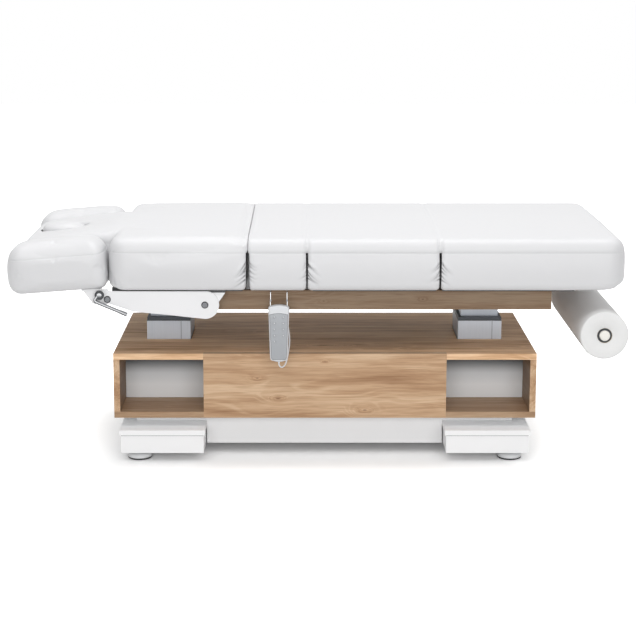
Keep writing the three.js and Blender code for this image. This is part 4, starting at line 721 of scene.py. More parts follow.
# Handset cord
cord_route = [
    (-147, -363, 342.7), (-147, -363, 337), (-143, -361.5, 329), (-136, -357, 326.5), (-128, -351, 332),
    (-122, -345, 348), (-116, -342, 382), (-113.5, -341.5, 408), (-117, -341, 448), (-128, -341, 486),
    (-137, -340.5, 508), (-140, -336, 517), (-140, -326, 518), (-140, -300, 518), (-140, -271.7, 518)]


def between(a, b, start, end, t):
    return a * ((end - t) / (end - start)) + b * ((t - start) / (end - start))


def catmull(points, steps):
    """Centripetal Catmull-Rom curve through the points."""
    pts = [points[0] * 2 - points[1]] + points + [points[-1] * 2 - points[-2]]
    out = []
    for p0, p1, p2, p3 in zip(pts, pts[1:], pts[2:], pts[3:]):
        t0, t1 = 0.0, (p1 - p0).length ** 0.5
        t2 = t1 + (p2 - p1).length ** 0.5
        t3 = t2 + (p3 - p2).length ** 0.5
        for k in range(steps):
            t = t1 + (t2 - t1) * k / steps
            middle = between(p1, p2, t1, t2, t)
            early = between(between(p0, p1, t0, t1, t), middle, t0, t2, t)
            late = between(middle, between(p2, p3, t2, t3, t), t1, t3, t)
            out.append(between(early, late, t1, t2, t))
    return out + points[-1:]


cord_line = catmull([Vector((at_x(x), y / 1000, z / 1000)) for x, y, z in cord_route], 6)
cord_curve = bpy.data.curves.new("handset_cord_line", "CURVE")
cord_curve.dimensions = "3D"
cord_curve.bevel_depth = CORD_RADIUS
cord_curve.bevel_resolution = 5
cord_curve.use_fill_caps = True
spline = cord_curve.splines.new("POLY")
spline.points.add(len(cord_line) - 1)
for point, co in zip(spline.points, cord_line):
    point.co = (*co, 1)
cord = link("cord_line", cord_curve)
cord_curve.materials.append(MATS["cord"])
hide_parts("handset_cord")
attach(cord, "upper_frame")

# Solids that stay as they are
node_materials = {
    "base_plinth": "plinth", "cabinet_top": "wood_top", "cabinet_bottom": "wood_shelf",
    "cabinet_front_panel": "wood_front", "cabinet_rear_panel": "wood_front", "apron_front": "wood_apron",
    "apron_rear": "wood_apron", "apron_end": "wood_side", "back_deck": "deck", "thigh_deck": "deck",
    "leg_stay": "black_steel", "back_actuator": "black_steel", "leg_actuator": "black_steel",
    "back_actuator_rod": "chrome", "leg_actuator_rod": "chrome", "control_box": "white_plastic",
}
for end in ("left", "right"):
    node_materials.update({
        f"cross_foot_{end}": "foot_box", f"cross_foot_cover_{end}": "plinth",
        f"cabinet_side_{end}": "wood_side", f"cabinet_partition_{end}": "wood_inner",
        f"niche_back_{end}": "niche_panel",
        f"column_outer_{end}": "column", f"column_inner_{end}": "column_inner",
        f"lift_drive_{end}": "black_steel", f"frame_cross_member_{end}": "white_steel",
    })
for side in ("front", "rear"):
    node_materials.update({name: "white_steel" for name in (f"frame_beam_{side}", f"arm_plate_{side}",
                                                            f"pad_bracket_{side}")})
for node, key in node_materials.items():
    paint(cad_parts[node], key)

# The calf panel stops short of the cushion's rounded foot end
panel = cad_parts["calf_deck"].copy()
panel.data = panel.data.copy()
panel.name = "calf_panel"
scene.collection.objects.link(panel)
panel_co = coords(panel)
panel_co[panel_co[:, 0] > 0.90, 0] -= 0.130
put(panel, panel_co)
# painted shade: the calf panel is painted black like the decks, for the shade under the cushion's edge
finish_piece(panel, "calf", "black_steel", "white_steel", "calf_deck")


# Upholstery helpers
def arc(t, run, rise=None):
    """How far a rounded end has drawn in at distance t from it."""
    rise = run if rise is None else rise
    t = np.clip(t, 0, run)
    return float(rise * (1 - np.sqrt(np.clip(1 - (1 - t / run) ** 2, 0, 1))))


def smoothstep(a, b, x):
    t = np.clip((x - a) / (b - a), 0, 1)
    return t * t * (3 - 2 * t)


def bell(x, width):
    return np.exp(-(x / width) ** 2)


def spread(a, b, n):
    return np.linspace(a, b, n, endpoint=False)


FOLD_STATIONS_MM = (0, 1.2, 2.4, 3.0, SLIT_HALF_MM, 3.8, 4.3, 5, 6, 7.3, 9, 11, 13.5, 16.5, 20, 24, 28, 32,
                    36, 40, 45, 50, 56, 63, 71)


def stations(x0, x1, run0, run1, step, folds):
    """Cross-section places: close together at the rounded ends and at the folds."""
    xs = set()
    for run, start, sign in ((run0, x0, 1), (run1, x1, -1)):
        for k in range(13):
            xs.add(round(start + sign * run * (1 - math.cos(math.pi / 2 * k / 12)), 6))
    x = x0 + run0
    while x < x1 - run1:
        xs.add(round(x, 6))
        x += step
    for fold in folds:
        xs = {x for x in xs if abs(x - fold) > 0.075}
        for u in FOLD_STATIONS_MM:
            xs.update({round(fold + u / 1000, 6), round(fold - u / 1000, 6)})
    return sorted(x for x in xs if x0 <= x <= x1)


def section(half, low, top, low_radius, top_radius, counts):
    """Half loop from bottom middle to top middle, then mirrored."""
    lower, upper = [spread(0, math.pi / 2, count) for count in (counts[1], counts[3])]
    rb = min(low_radius, half * 0.98, (top - low) * 0.48)
    rt = min(top_radius, half * 0.98, (top - low) * 0.51)
    loop = [(v, low) for v in spread(0, half - rb, counts[0])]
    loop += [(half - rb + rb * math.sin(v), low + rb - rb * math.cos(v)) for v in lower]
    loop += [(half, v) for v in spread(low + rb, top - rt, counts[2])]
    loop += [(half - rt + rt * math.cos(v), top - rt + rt * math.sin(v)) for v in upper]
    loop += [(v, top) for v in np.linspace(half - rt, 0, counts[4])]
    y, z = np.array(loop).T
    return np.concatenate([y, -y[-2:0:-1]]), np.concatenate([z, z[-2:0:-1]])


def pad_loft(name, x0, x1, middle, half, low, top, *, side, plan, rim, foot, counts, crown=0.007,
             swell=0.0055, step=0.012, folds=(), fold_z=0.690, top_drop=None, bulge=(0.002, 0.002)):
    """Stuffed block lofted along X, crowned on top, with folds cut up from below. Its two ends are rounded in
    plan, at the top rim and at the foot, its long sides at the bottom and the top."""
    run0, run1 = (max(plan[k], rim[k], 0.02) for k in (0, 1))
    rings = []
    for x in stations(x0, x1, run0, run1, step, folds):
        t0, t1 = x - x0, x1 - x
        inset = max(arc(t0, plan[0]), arc(t1, plan[1]))
        drop = max(arc(t0, rim[0]), arc(t1, rim[1]))
        lift = max(arc(t0, *foot[0]), arc(t1, *foot[1]))
        for fold in folds:
            u = abs(x - fold) * 1000
            lip = LIP_MM * math.exp(-((u - SLIT_HALF_MM) / 5.0) ** 2 / 1.4) if u > SLIT_HALF_MM else LIP_MM
            inset = max(inset, lip / 1000 * 0.8)
            lift = max(lift, 0.7 * lip / 1000, fold_z - low if u < SLIT_HALF_MM else 0)
            drop = max(drop, 0.0012 * math.exp(-(u / 9) ** 2))
        end = min(1.0, t0 / run0, t1 / run1)
        top_here = top - drop - (top_drop(x) if top_drop else 0)
        y, z = section(half - inset, low + lift, top_here, *side, counts)
        rel = y / max(half - inset, 1e-6)
        upper = smoothstep(top_here - side[1], top_here, z)
        z = z + crown * upper * (1 - rel ** 2) * (1 - (1 - end) ** 2)
        belly = np.sin(np.clip((z - low) / 0.117, 0, 1) * math.pi)
        y = middle + y + np.sign(rel) * swell * np.clip(belly, 0, 1) * (np.abs(rel) > 0.97) * end
        rings.append(np.stack([np.full_like(y, x), y, z], 1))
    caps = []
    for ring, sign, out in ((rings[0], -1, bulge[0]), (rings[-1], 1, bulge[1])):
        centre = ring.mean(axis=0)
        layers = []
        for share in (0.9, 0.78, 0.64, 0.5, 0.36, 0.22, 0.1):
            layer = centre + (ring - centre) * share
            layer[:, 0] = ring[:, 0] + sign * out * (1 - share * share)
            layers.append(layer)
        caps.append(layers)
    return loft(name, [list(map(tuple, ring)) for ring in caps[0][::-1] + rings + caps[1]])


def sew(obj, seam_z, depth=0.0009, width=0.0024):
    """Cuts the shallow groove of the seam round the sides."""
    co, no = coords(obj), normals(obj)
    side = np.clip((0.9 - np.abs(no[:, 2])) / 0.3, 0, 1)
    put(obj, co - no * (depth * bell(co[:, 2] - seam_z, width) * side)[:, None])


def recess(obj, x_end, inward):
    """Draws the end face in below the seam, so that the slit shows on the side and closes on top."""
    co = coords(obj)
    reach = np.clip((co[:, 0] - x_end) * inward, 0, 1)
    co[:, 0] += inward * 0.0036 * (1 - smoothstep(0.680, 0.704, co[:, 2])) * bell(reach, 0.012)
    put(obj, co)


def hollow(obj, x_end):
    """Room in the seat's end face for the backrest's rim when it folds over."""
    co = coords(obj)
    near = np.clip(1 - (co[:, 0] - x_end) / 0.010, 0, 1)
    rise = np.clip((co[:, 2] - 0.706) / 0.0335, 0, 1)
    inside = 1 - smoothstep(0.340, 0.366, np.abs(co[:, 1]))
    co[:, 0] += 0.0066 * np.sin(math.pi * rise) ** 0.8 * near * inside
    put(obj, co)


def pinch(obj, folds, reach=0.022):
    """Narrows each slit towards the bottom and lets its lips waver."""
    co = coords(obj)
    for k, fold in enumerate(folds):
        u = co[:, 0] - fold
        near = np.abs(u) < reach
        hand, z = np.sign(u[near]), co[near, 2]
        wide = np.clip(0.32 + 0.95 * bell(z - 0.674, 0.020) + 0.10 * np.sin(z * 420 + 2 * k + hand), 0.2, 1.3)
        fade = np.clip((reach - np.abs(u[near])) / 0.0186, 0, 1)
        co[near, 0] += hand * (wide - 1) * SLIT_HALF_MM / 1000 * fade * (1 - smoothstep(0.688, 0.698, z))
    put(obj, co)


def pleats_and_painted_shade(obj, fans, seed):
    """Cuts pleats that fan out and down from a slit on the long sides, for fans of (slit, hand, strength).
    It also stores a painted shadow along each pleat, which the leatherette's colour reads."""
    rng = np.random.default_rng(seed)
    co, no = coords(obj), normals(obj)
    moved, shadow = np.zeros(len(co)), np.zeros(len(co))
    for slit, hand, force in fans:
        for side in (-1, 1):
            for k in range(5):
                start = 0.674 - 0.014 * k + rng.uniform(-0.003, 0.003)
                slope = -rng.uniform(0.9, 2.0) + 0.12 * k
                reach = rng.uniform(0.028, 0.058) * (0.55 + 0.45 * force)
                depth = rng.uniform(0.0040, 0.0066) * force
                width = rng.uniform(0.0024, 0.0036)
                near = (np.sign(co[:, 1]) == side) & (np.abs(co[:, 0] - slit) < 0.075)
                near &= np.abs(no[:, 1]) > 0.35
                u = (co[near, 0] - slit) * hand
                ahead = np.clip(u / reach, 0, 1)
                d = (co[near, 2] - start - slope * u * (1 - 0.3 * ahead)) / math.hypot(1, slope)
                fade = np.where(u > 0, (1 - ahead) ** 1.2, 0) * smoothstep(0.583, 0.592, co[near, 2])
                moved[near] += depth * fade * (0.5 * bell(d - 2.0 * width, 1.5 * width) - bell(d, width))
                # painted shadow along each pleat line, stored for the colour
                dark = np.where(u > 0, (1 - ahead) ** 1.6, 0) * bell(d, 0.62 * width)
                shadow[near] = np.maximum(shadow[near], np.clip(1.25 * depth / 0.0053, 0, 1) * dark)
    put(obj, co + no * moved[:, None])
    layer = obj.data.attributes.new("pleats_and_painted_shade", "FLOAT", "POINT")
    layer.data.foreach_set("value", shadow.astype(np.float32))


def square_rim(obj, x_end, x_face):
    """Brings a rounded top rim back up to the height of the surface behind it, and its face to x_face."""
    co, no = coords(obj), normals(obj)
    behind = (np.abs(co[:, 0] - (x_end - 0.017)) < 0.005) & (no[:, 2] > 0.5)
    order = np.argsort(co[behind, 1])
    level_y, level_z = co[behind, 1][order], co[behind, 2][order]
    rim = (co[:, 0] > x_end - 0.013) & (co[:, 2] > 0.712) & (no[:, 2] > 0.22)
    wanted = np.interp(co[rim, 1], level_y, level_z)
    co[rim, 2] += 0.9 * np.clip(wanted - co[rim, 2], 0, 0.008)
    face = (co[:, 0] > x_end - 0.0045) & (co[:, 2] > SEAM_Z)
    ease = smoothstep(SEAM_Z, 0.712, co[face, 2]) * smoothstep(x_end - 0.0045, x_end - 0.0015, co[face, 0])
    co[face, 0] += (x_face - co[face, 0]) * ease
    put(obj, co)


def hem(obj, depth=0.006):
    """Lets the lower rim of the sheet hang over the edge of the board."""
    co = coords(obj)
    rim = smoothstep(0.367, 0.375, np.abs(co[:, 1])) * (1 - smoothstep(0.585, 0.613, co[:, 2]))
    co[:, 2] -= depth * rim
    put(obj, co)


def keep_rest(obj):
    """Notes each point's place, so that the grain stays on the sheet when the piece bends or turns."""
    attribute = obj.data.attributes.new("rest", "FLOAT_VECTOR", "POINT")
    attribute.data.foreach_set("vector", coords(obj).astype(np.float32).ravel())


def remesh(obj, voxel):
    mod = obj.modifiers.new("remesh", "REMESH")
    mod.mode = "VOXEL"
    mod.voxel_size = voxel
    mod.use_smooth_shade = True
    smooth = obj.modifiers.new("smooth", "SMOOTH")
    smooth.factor = 0.5
    smooth.iterations = 7
    apply_modifiers(obj)
    shade(obj)


def stuff(obj, cap, pinned, frames=20):
    """Cloth under inner pressure, its movement capped, then applied."""
    start = coords(obj)
    mod = obj.modifiers.new("cloth", "CLOTH")
    settings = mod.settings
    for key, value in (("quality", 5), ("mass", 0.35), ("tension_stiffness", 18),
                       ("compression_stiffness", 18), ("shear_stiffness", 8), ("bending_stiffness", 1.2),
                       ("use_pressure", True), ("uniform_pressure_force", 4.0)):
        setattr(settings, key, value)
    settings.effector_weights.gravity = 0
    mod.collision_settings.use_collision = False
    mod.collision_settings.use_self_collision = False
    group = obj.vertex_groups.new(name="pin")
    group.add([int(i) for i in np.nonzero(pinned(start))[0]], 1.0, "REPLACE")
    settings.vertex_group_mass = "pin"
    mod.point_cache.frame_start, mod.point_cache.frame_end = 1, frames
    for number in range(1, frames + 1):
        scene.frame_set(number)
    evaluated = obj.evaluated_get(bpy.context.evaluated_depsgraph_get())
    step = read(evaluated.to_mesh(), "co") - start
    evaluated.to_mesh_clear()
    obj.modifiers.clear()
    obj.vertex_groups.clear()
    length = np.linalg.norm(step, axis=1, keepdims=True)
    put(obj, start + step * np.minimum(1, cap / np.maximum(length, 1e-9)))
    scene.frame_set(1)


def subdivide(obj):
    mod = obj.modifiers.new("subdivision", "SUBSURF")
    mod.levels = mod.render_levels = 1
    apply_modifiers(obj)
    shade(obj)


def split_at(obj, x, name):
    """Takes the faces beyond x into a second object, normals kept along the cut."""
    other = link(name, obj.data.copy())
    for target, keep_low in ((obj, True), (other, False)):
        bm = bmesh.new()
        bm.from_mesh(target.data)
        gone = [f for f in bm.faces if (f.calc_center_median().x < x) != keep_low]
        bmesh.ops.delete(bm, geom=gone, context="FACES")
        bm.to_mesh(target.data)
        bm.free()
    return other


def upholster(obj, material, nodes):
    """Paints a skin, hides the solids it stands for and bakes its place into its points."""
    paint(obj, material)
    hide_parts(*nodes)
    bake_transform(obj)


# Seat, thigh and calf: one continuous top skin over two folds
skin = pad_loft("leg_skin", SEAT_END, at_x(948), 0, CUSHION_HALF, CUSHION_LOW, CUSHION_TOP,
                side=(0.020, 0.036), plan=(0.010, 0.060), rim=(0.0025, 0.046),
                foot=((0.010, 0.010), (0.100, 0.028)), folds=(FOLD_THIGH, FOLD_KNEE), bulge=(0.0, 0.004),
                counts=(12, 5, 46, 12, 26))
recess(skin, SEAT_END, 1)
hollow(skin, SEAT_END)
pinch(skin, (FOLD_THIGH, FOLD_KNEE))
pleats_and_painted_shade(skin, ((FOLD_THIGH, 1, 1.0), (FOLD_THIGH, -1, 0.4), (FOLD_KNEE, 1, 0.65), (FOLD_KNEE, -1, 0.65),
              (at_x(-242), 1, 0.5)), 11)
hem(skin)
sew(skin, SEAM_Z)
keep_rest(skin)
calf_skin = split_at(skin, at_x(150), "thigh_calf_upholstery")
skin.name = "seat_thigh_upholstery"
for obj, nodes, bodies, fold in (
        (skin, ("seat_cushion", "thigh_cushion"), ("upper_frame", "thigh"), FOLD_THIGH),
        (calf_skin, ("calf_cushion",), ("thigh", "calf"), FOLD_KNEE)):
    upholster(obj, "leather", nodes)


# Backrest with the head portion, and its face hole
def head_drop(x):
    """How far the head portion has sloped down at x."""
    return 0.0435 * float(np.clip((HEAD_JOINT - x) / 0.314, 0, 1))


back_main = pad_loft("back_main", HEAD_JOINT, BACK_END, 0, CUSHION_HALF - 0.001, CUSHION_LOW, CUSHION_TOP,
                     side=(0.020, 0.036), plan=(0.056, 0.010), rim=(0.034, 0.006),
                     foot=((0.016, 0.014), (0.010, 0.010)), step=0.014, counts=(12, 5, 18, 10, 26))
head = pad_loft("head", at_x(-998), at_x(-600), 0, 0.216, CUSHION_LOW, CUSHION_TOP, side=(0.013, 0.030),
                plan=(0.034, 0.03), rim=(0.034, 0.034), foot=((0.02, 0.02), (0.01, 0.01)), step=0.014,
                top_drop=head_drop, crown=0.006, counts=(10, 5, 18, 9, 18))
cut_away(head, loft("hole", [oval(HOLE_X, HOLE_HALF_X, HOLE_HALF_Y, z, 48) for z in (0.56, 0.80)]))
back = merge("back_upholstery", [back_main, head])
remesh(back, 0.0062)
stuff(back, 0.004, lambda co: (co[:, 2] < 0.592) | (co[:, 0] > at_x(-262)))
subdivide(back)
square_rim(back, BACK_END, BACK_END + 0.001)
recess(back, BACK_END, -1)
pleats_and_painted_shade(back, ((at_x(-246), -1, 1.1),), 5)
hem(back)
sew(back, SEAM_Z)
keep_rest(back)
upholster(back, "leather_back", ("back_cushion",))

# Plug of the face hole: a domed oval, listed as (share of its size, height over the head's surface)
surface = CUSHION_TOP - head_drop(HOLE_X)
plug_shares = ((0.90, -0.100), (0.97, -0.094), (0.985, -0.05), (0.985, -0.012), (0.97, -0.002), (0.93, 0.005),
               (0.86, 0.0095), (0.74, 0.0135), (0.58, 0.0165), (0.4, 0.0185), (0.2, 0.0197))
plug = loft("face_plug_upholstery", [oval(HOLE_X, 0.0752 * s, 0.0508 * s, surface + h, 64)
                                     for s, h in plug_shares])
remesh(plug, 0.004)
stuff(plug, 0.0025, lambda co: co[:, 2] < surface - 0.03)
subdivide(plug)
keep_rest(plug)
finish_piece(plug, "face_plug", "leather_plain", "leatherette", "face_plug")

# Armrest pads, turned about their foot to the slope of the head
foot_point = Vector((PAD_FOOT_X, 0, PAD_FOOT_Z))
pad_slope = Matrix.Rotation(math.radians(-4.5), 4, "Y")
turn = Matrix.Translation(foot_point) @ pad_slope @ Matrix.Translation(-foot_point)
for side, sign in (("front", -1), ("rear", 1)):
    pad = pad_loft(f"armrest_upholstery_{side}", PAD_FOOT_X - 0.3145, PAD_FOOT_X - 0.0005, sign * 0.304, 0.081,
                   PAD_FOOT_Z, PAD_FOOT_Z + PAD_HEIGHT, side=(0.020, 0.044), plan=(0.054, 0.026),
                   rim=(0.060, 0.046), foot=((0.048, 0.040), (0.016, 0.014)), crown=0.006, swell=0.0015,
                   step=0.010, counts=(8, 6, 16, 10, 10))
    remesh(pad, 0.005)
    stuff(pad, 0.004, lambda co: co[:, 2] < PAD_FOOT_Z + 0.006)
    subdivide(pad)
    sew(pad, PAD_SEAM_Z)
    keep_rest(pad)
    pad.data.transform(turn)
    finish_piece(pad, f"{side}_pad", "leather_pad", "leatherette", f"armrest_pad_{side}")


def turned(name, profile, centre, axis, sides, *finish, sharp=None, heights=1):
    """Lathe piece with its finish; heights turns the profile over when it is -1."""
    piece = lathe(name, [(r, heights * h) for r, h in profile], centre, axis, sides)
    finish_piece(piece, *finish, sharp=sharp)


# Paper roll: wound body, core tube and the loose end of the sheet
roll_axis = (ROLL_X, 0, ROLL_Z)
front_rim = [(CORE_RADIUS + 0.001, ROLL_FRONT), (ROLL_RADIUS - 0.004, ROLL_FRONT),
             (ROLL_RADIUS - 0.0015, ROLL_FRONT + 0.0008), (ROLL_RADIUS, ROLL_FRONT + 0.003)]
back_rim = [(r, ROLL_FRONT + ROLL_BACK - y) for r, y in reversed(front_rim)]
inner_rim = (CORE_RADIUS, ROLL_FRONT + 0.001)
outside = [(ROLL_RADIUS, ROLL_FRONT + 0.05 * k) for k in range(1, 12)]
profile = [inner_rim, *front_rim, *outside, *back_rim, (CORE_RADIUS, ROLL_BACK - 0.001), inner_rim]
roll = lathe("paper_roll_wound", profile, roll_axis, "Y", 96, close=False)
tidy_normals(roll, merge_distance=1e-6)
finish_piece(roll, "paper_roll", "paper", "paper", "paper_roll", sharp=50)
tube_out, tube_in = CORE_RADIUS - 0.0001, CORE_RADIUS - 0.0004
tube_front, tube_back = ROLL_FRONT + 0.0005, ROLL_BACK - 0.0005
core = lathe("paper_core", [(tube_out, tube_front), (tube_out, tube_back), (tube_in, tube_back),
                            (tube_in, tube_front), (tube_out, tube_front)], roll_axis, "Y", 64, close=False)
finish_piece(core, "paper_roll", "board", "paper")
flap = []
for i in range(15):
    a = math.radians(-150 + 1.6 * i)
    under = ROLL_RADIUS + 0.0002 + 0.0009 * (i / 14) ** 2
    over = under + 0.0004
    corners = ((under, ROLL_FRONT + 0.002), (under, ROLL_BACK - 0.002),
               (over, ROLL_BACK - 0.002), (over, ROLL_FRONT + 0.002))
    flap.append([(ROLL_X + r * math.cos(a), y, ROLL_Z + r * math.sin(a)) for r, y in corners])
finish_piece(loft("paper_end_flap", flap), "paper_roll", "paper", "paper")

# Roll holder: bar, screwed plate, hubs in the core, end cap
PLATE_X, PLATE_Y, PLATE_Z, PLATE_HALF, PLATE_THICK = at_x(719.3), 0.257, 0.539, 0.0175, 0.005
bar_path = bend_path([(PLATE_X + 0.0045, PLATE_Y, PLATE_Z), (ROLL_X, PLATE_Y, PLATE_Z),
                      (ROLL_X, PLATE_Y, ROLL_Z), (ROLL_X, ROLL_FRONT - 0.006, ROLL_Z)], 0.034)
finish_piece(tube("roll_bar", bar_path, 0.008, 24), "upper_frame", "white_steel", "white_steel",
             "roll_holder", sharp=60)
plate = outline_solid("roll_bar_plate", rounded_rect(PLATE_Y - PLATE_HALF, PLATE_Y + PLATE_HALF,
                                                     PLATE_Z - PLATE_HALF, PLATE_Z + PLATE_HALF, 0.006),
                      0, PLATE_THICK, 0.0008)
plate.data.transform(Matrix(((0, 1, 0, PLATE_X), (1, 0, 0, 0), (0, 0, 1, 0), (0, 0, 0, 1))))
tidy_normals(plate)
finish_piece(plate, "upper_frame", "white_steel", "white_steel", sharp=40)
for k, off in enumerate((-0.011, 0.011)):
    turned(f"plate_screw_{k}", [(0.0, 0.0075), (0.0022, 0.0074), (0.0034, 0.0066), (0.0036, PLATE_THICK),
                                (0.0036, 0.0045)],
           (PLATE_X, PLATE_Y + off, PLATE_Z + off), "X", 24, "upper_frame", "chrome", "chrome")
for k, y in enumerate((ROLL_FRONT + 0.040, ROLL_BACK - 0.064)):
    turned(f"roll_hub_{k}", [(0.006, 0), (0.0215, 0), (0.0232, 0.0015), (0.0232, 0.0225), (0.0215, 0.024),
                             (0.006, 0.024)],
           (ROLL_X, y, ROLL_Z), "Y", 48, "upper_frame", "dark", "black_steel", sharp=40)
roll_end = (ROLL_X, ROLL_FRONT, ROLL_Z)
turned("roll_cap", [(0.0, -0.007), (0.012, -0.0069), (0.0150, -0.0060), (0.0163, -0.0040), (0.0165, -0.0015),
                    (0.0165, 0.007), (0.0, 0.007)],
       roll_end, "Y", 64, "upper_frame", "cream", "white_plastic", sharp=50)
# dark ring in the mouth of the core: painted shade of the hollow core
turned("roll_core_shade_ring", [(0.0166, 0.003), (0.0175, 0.0022), (0.0231, 0.0022), (0.0233, 0.0035),
                          (0.0233, 0.012), (0.0166, 0.012), (0.0166, 0.003)],
       roll_end, "Y", 64, "upper_frame", "dark", "black_steel", sharp=40)


# Handset
def handset_line(radius=0.011, bow=0.004, steps=14):
    """Shell outline: narrower foot, arched brow, rounded corners."""
    corners = [Vector(c) for c in ((-0.028, HANDSET_FOOT), (0.028, HANDSET_FOOT),
                                   (0.0335, HANDSET_TOP - bow), (-0.0335, HANDSET_TOP - bow))]
    pts = []
    for i, here in enumerate(corners):
        after = corners[(i + 1) % 4]
        corner = round_corner(corners[i - 1], here, after, radius, 8)
        pts += corner
        if i in (0, 2):
            end = after + (here - after).normalized() * radius
            for t in (k / steps for k in range(1, steps)):
                pts.append(corner[-1].lerp(end, t) + Vector((0, (i - 1) * 3.2 * bow * t * (1 - t))))
    return [(HANDSET_X + p.x, p.y) for p in pts]


def film_line(grow=0.0):
    """Keypad outline: straight sides, arched top, cut lower corners."""
    top, low = HANDSET_TOP - 0.027 + grow, HANDSET_FOOT + 0.006 - grow
    wide, narrow = 0.0285 + grow, 0.0232 + grow
    right = [(narrow - 0.006, low), (narrow - 0.0018, low + 0.0018), (narrow, low + 0.006)]
    arch = [(wide - 2 * wide * t, top - 0.0045 + 0.018 * t * (1 - t)) for t in (k / 12 for k in range(13))]
    left = [(-x, z) for x, z in reversed(right)]
    return [(HANDSET_X + x, z) for x, z in left[2:] + right + arch + left[:2]]


finish_piece(outline_solid("handset_body", handset_line(), HANDSET_FACE, HANDSET_BACK, 0.006, 6),
             "upper_frame", "handset_plastic", "white_plastic", "handset_shell", sharp=50)
middle_z = (HANDSET_TOP + HANDSET_FOOT) / 2
joint = [(HANDSET_X + (x - HANDSET_X) * 1.004, middle_z + (z - middle_z) * 1.001) for x, z in handset_line()]
finish_piece(outline_solid("handset_joint", joint, CORD_Y - 0.0005, CORD_Y + 0.0005),
             "upper_frame", "grey_plastic", "grey_plastic")
film_y = HANDSET_FACE - 0.0009
finish_piece(outline_solid("keypad_film", film_line(), film_y, HANDSET_FACE + 0.0006, 0.0004, 2),
             "upper_frame", "grey_plastic", "grey_plastic", "handset_keypad", sharp=40)
finish_piece(outline_solid("keypad_rim", film_line(0.0009), HANDSET_FACE - 0.0003, HANDSET_FACE + 0.0006),
             "upper_frame", "dark", "grey_plastic")
for row in range(5):
    for letter, hand in (("a", -1), ("b", 1))[:2 if row < 4 else 1]:
        x, z = HANDSET_X + hand * 0.014, HANDSET_TOP - 0.038 - row * 0.020
        turned(f"key_{row}_{letter}", [(0.0, -0.00115), (0.0030, -0.00105), (0.0042, -0.0007), (0.0048, 0.0)],
               (x, film_y, z), "Y", 32, "upper_frame", "grey_plastic", "grey_plastic")
        triangle = [(x - 0.0019, z - 0.0012 * hand), (x + 0.0019, z - 0.0012 * hand), (x, z + 0.0019 * hand)]
        finish_piece(outline_solid(f"mark_{row}_{letter}", triangle, film_y - 0.0014, film_y - 0.0008),
                     "upper_frame", "mark", "grey_plastic")
relief = [(0.0046, 0.002)]
for k in range(4):
    rib, neck, down = 0.0044 - 0.0004 * k, 0.0036 - 0.0003 * k, -0.0017 * k
    relief += [(rib, down - 0.0006), (neck, down - 0.0010), (neck, down - 0.0015)]
turned("strain_relief", relief + [(0.0026, -0.0074)], (HANDSET_X, CORD_Y, HANDSET_FOOT), "Z", 32,
       "upper_frame", "white_plastic", "white_plastic")

# Hanger wires over the apron
WIRE_RADIUS, WIRE_GAP = 0.0015, 0.0006
hook_y = -0.330 + 0.018 + WIRE_RADIUS + WIRE_GAP
hook_z = 0.570 + WIRE_GAP + WIRE_RADIUS
for k, hand in enumerate((-1, 1)):
    x = HANDSET_X + hand * 0.026
    path = bend_path([(x, CORD_Y, HANDSET_TOP - 0.006), (x + 0.0012 * hand, CORD_Y, HANDSET_TOP + 0.012),
                      (x, CORD_Y, HANDSET_TOP + 0.018), (x, CORD_Y, hook_z), (x, hook_y, hook_z),
                      (x, hook_y, 0.5625)], 0.0028, 6)
    finish_piece(tube(f"hanger_wire_{k}", path, WIRE_RADIUS, 14), "upper_frame", "chrome", "chrome",
                 *(["handset_hanger"] if k == 0 else []), sharp=60)
    turned(f"hanger_sleeve_{k}", [(0.0016, 0.009), (0.0024, 0.0095), (0.0024, 0.0155), (0.0016, 0.016)],
           (x, CORD_Y, HANDSET_TOP), "Z", 20, "upper_frame", "grey_plastic", "grey_plastic")

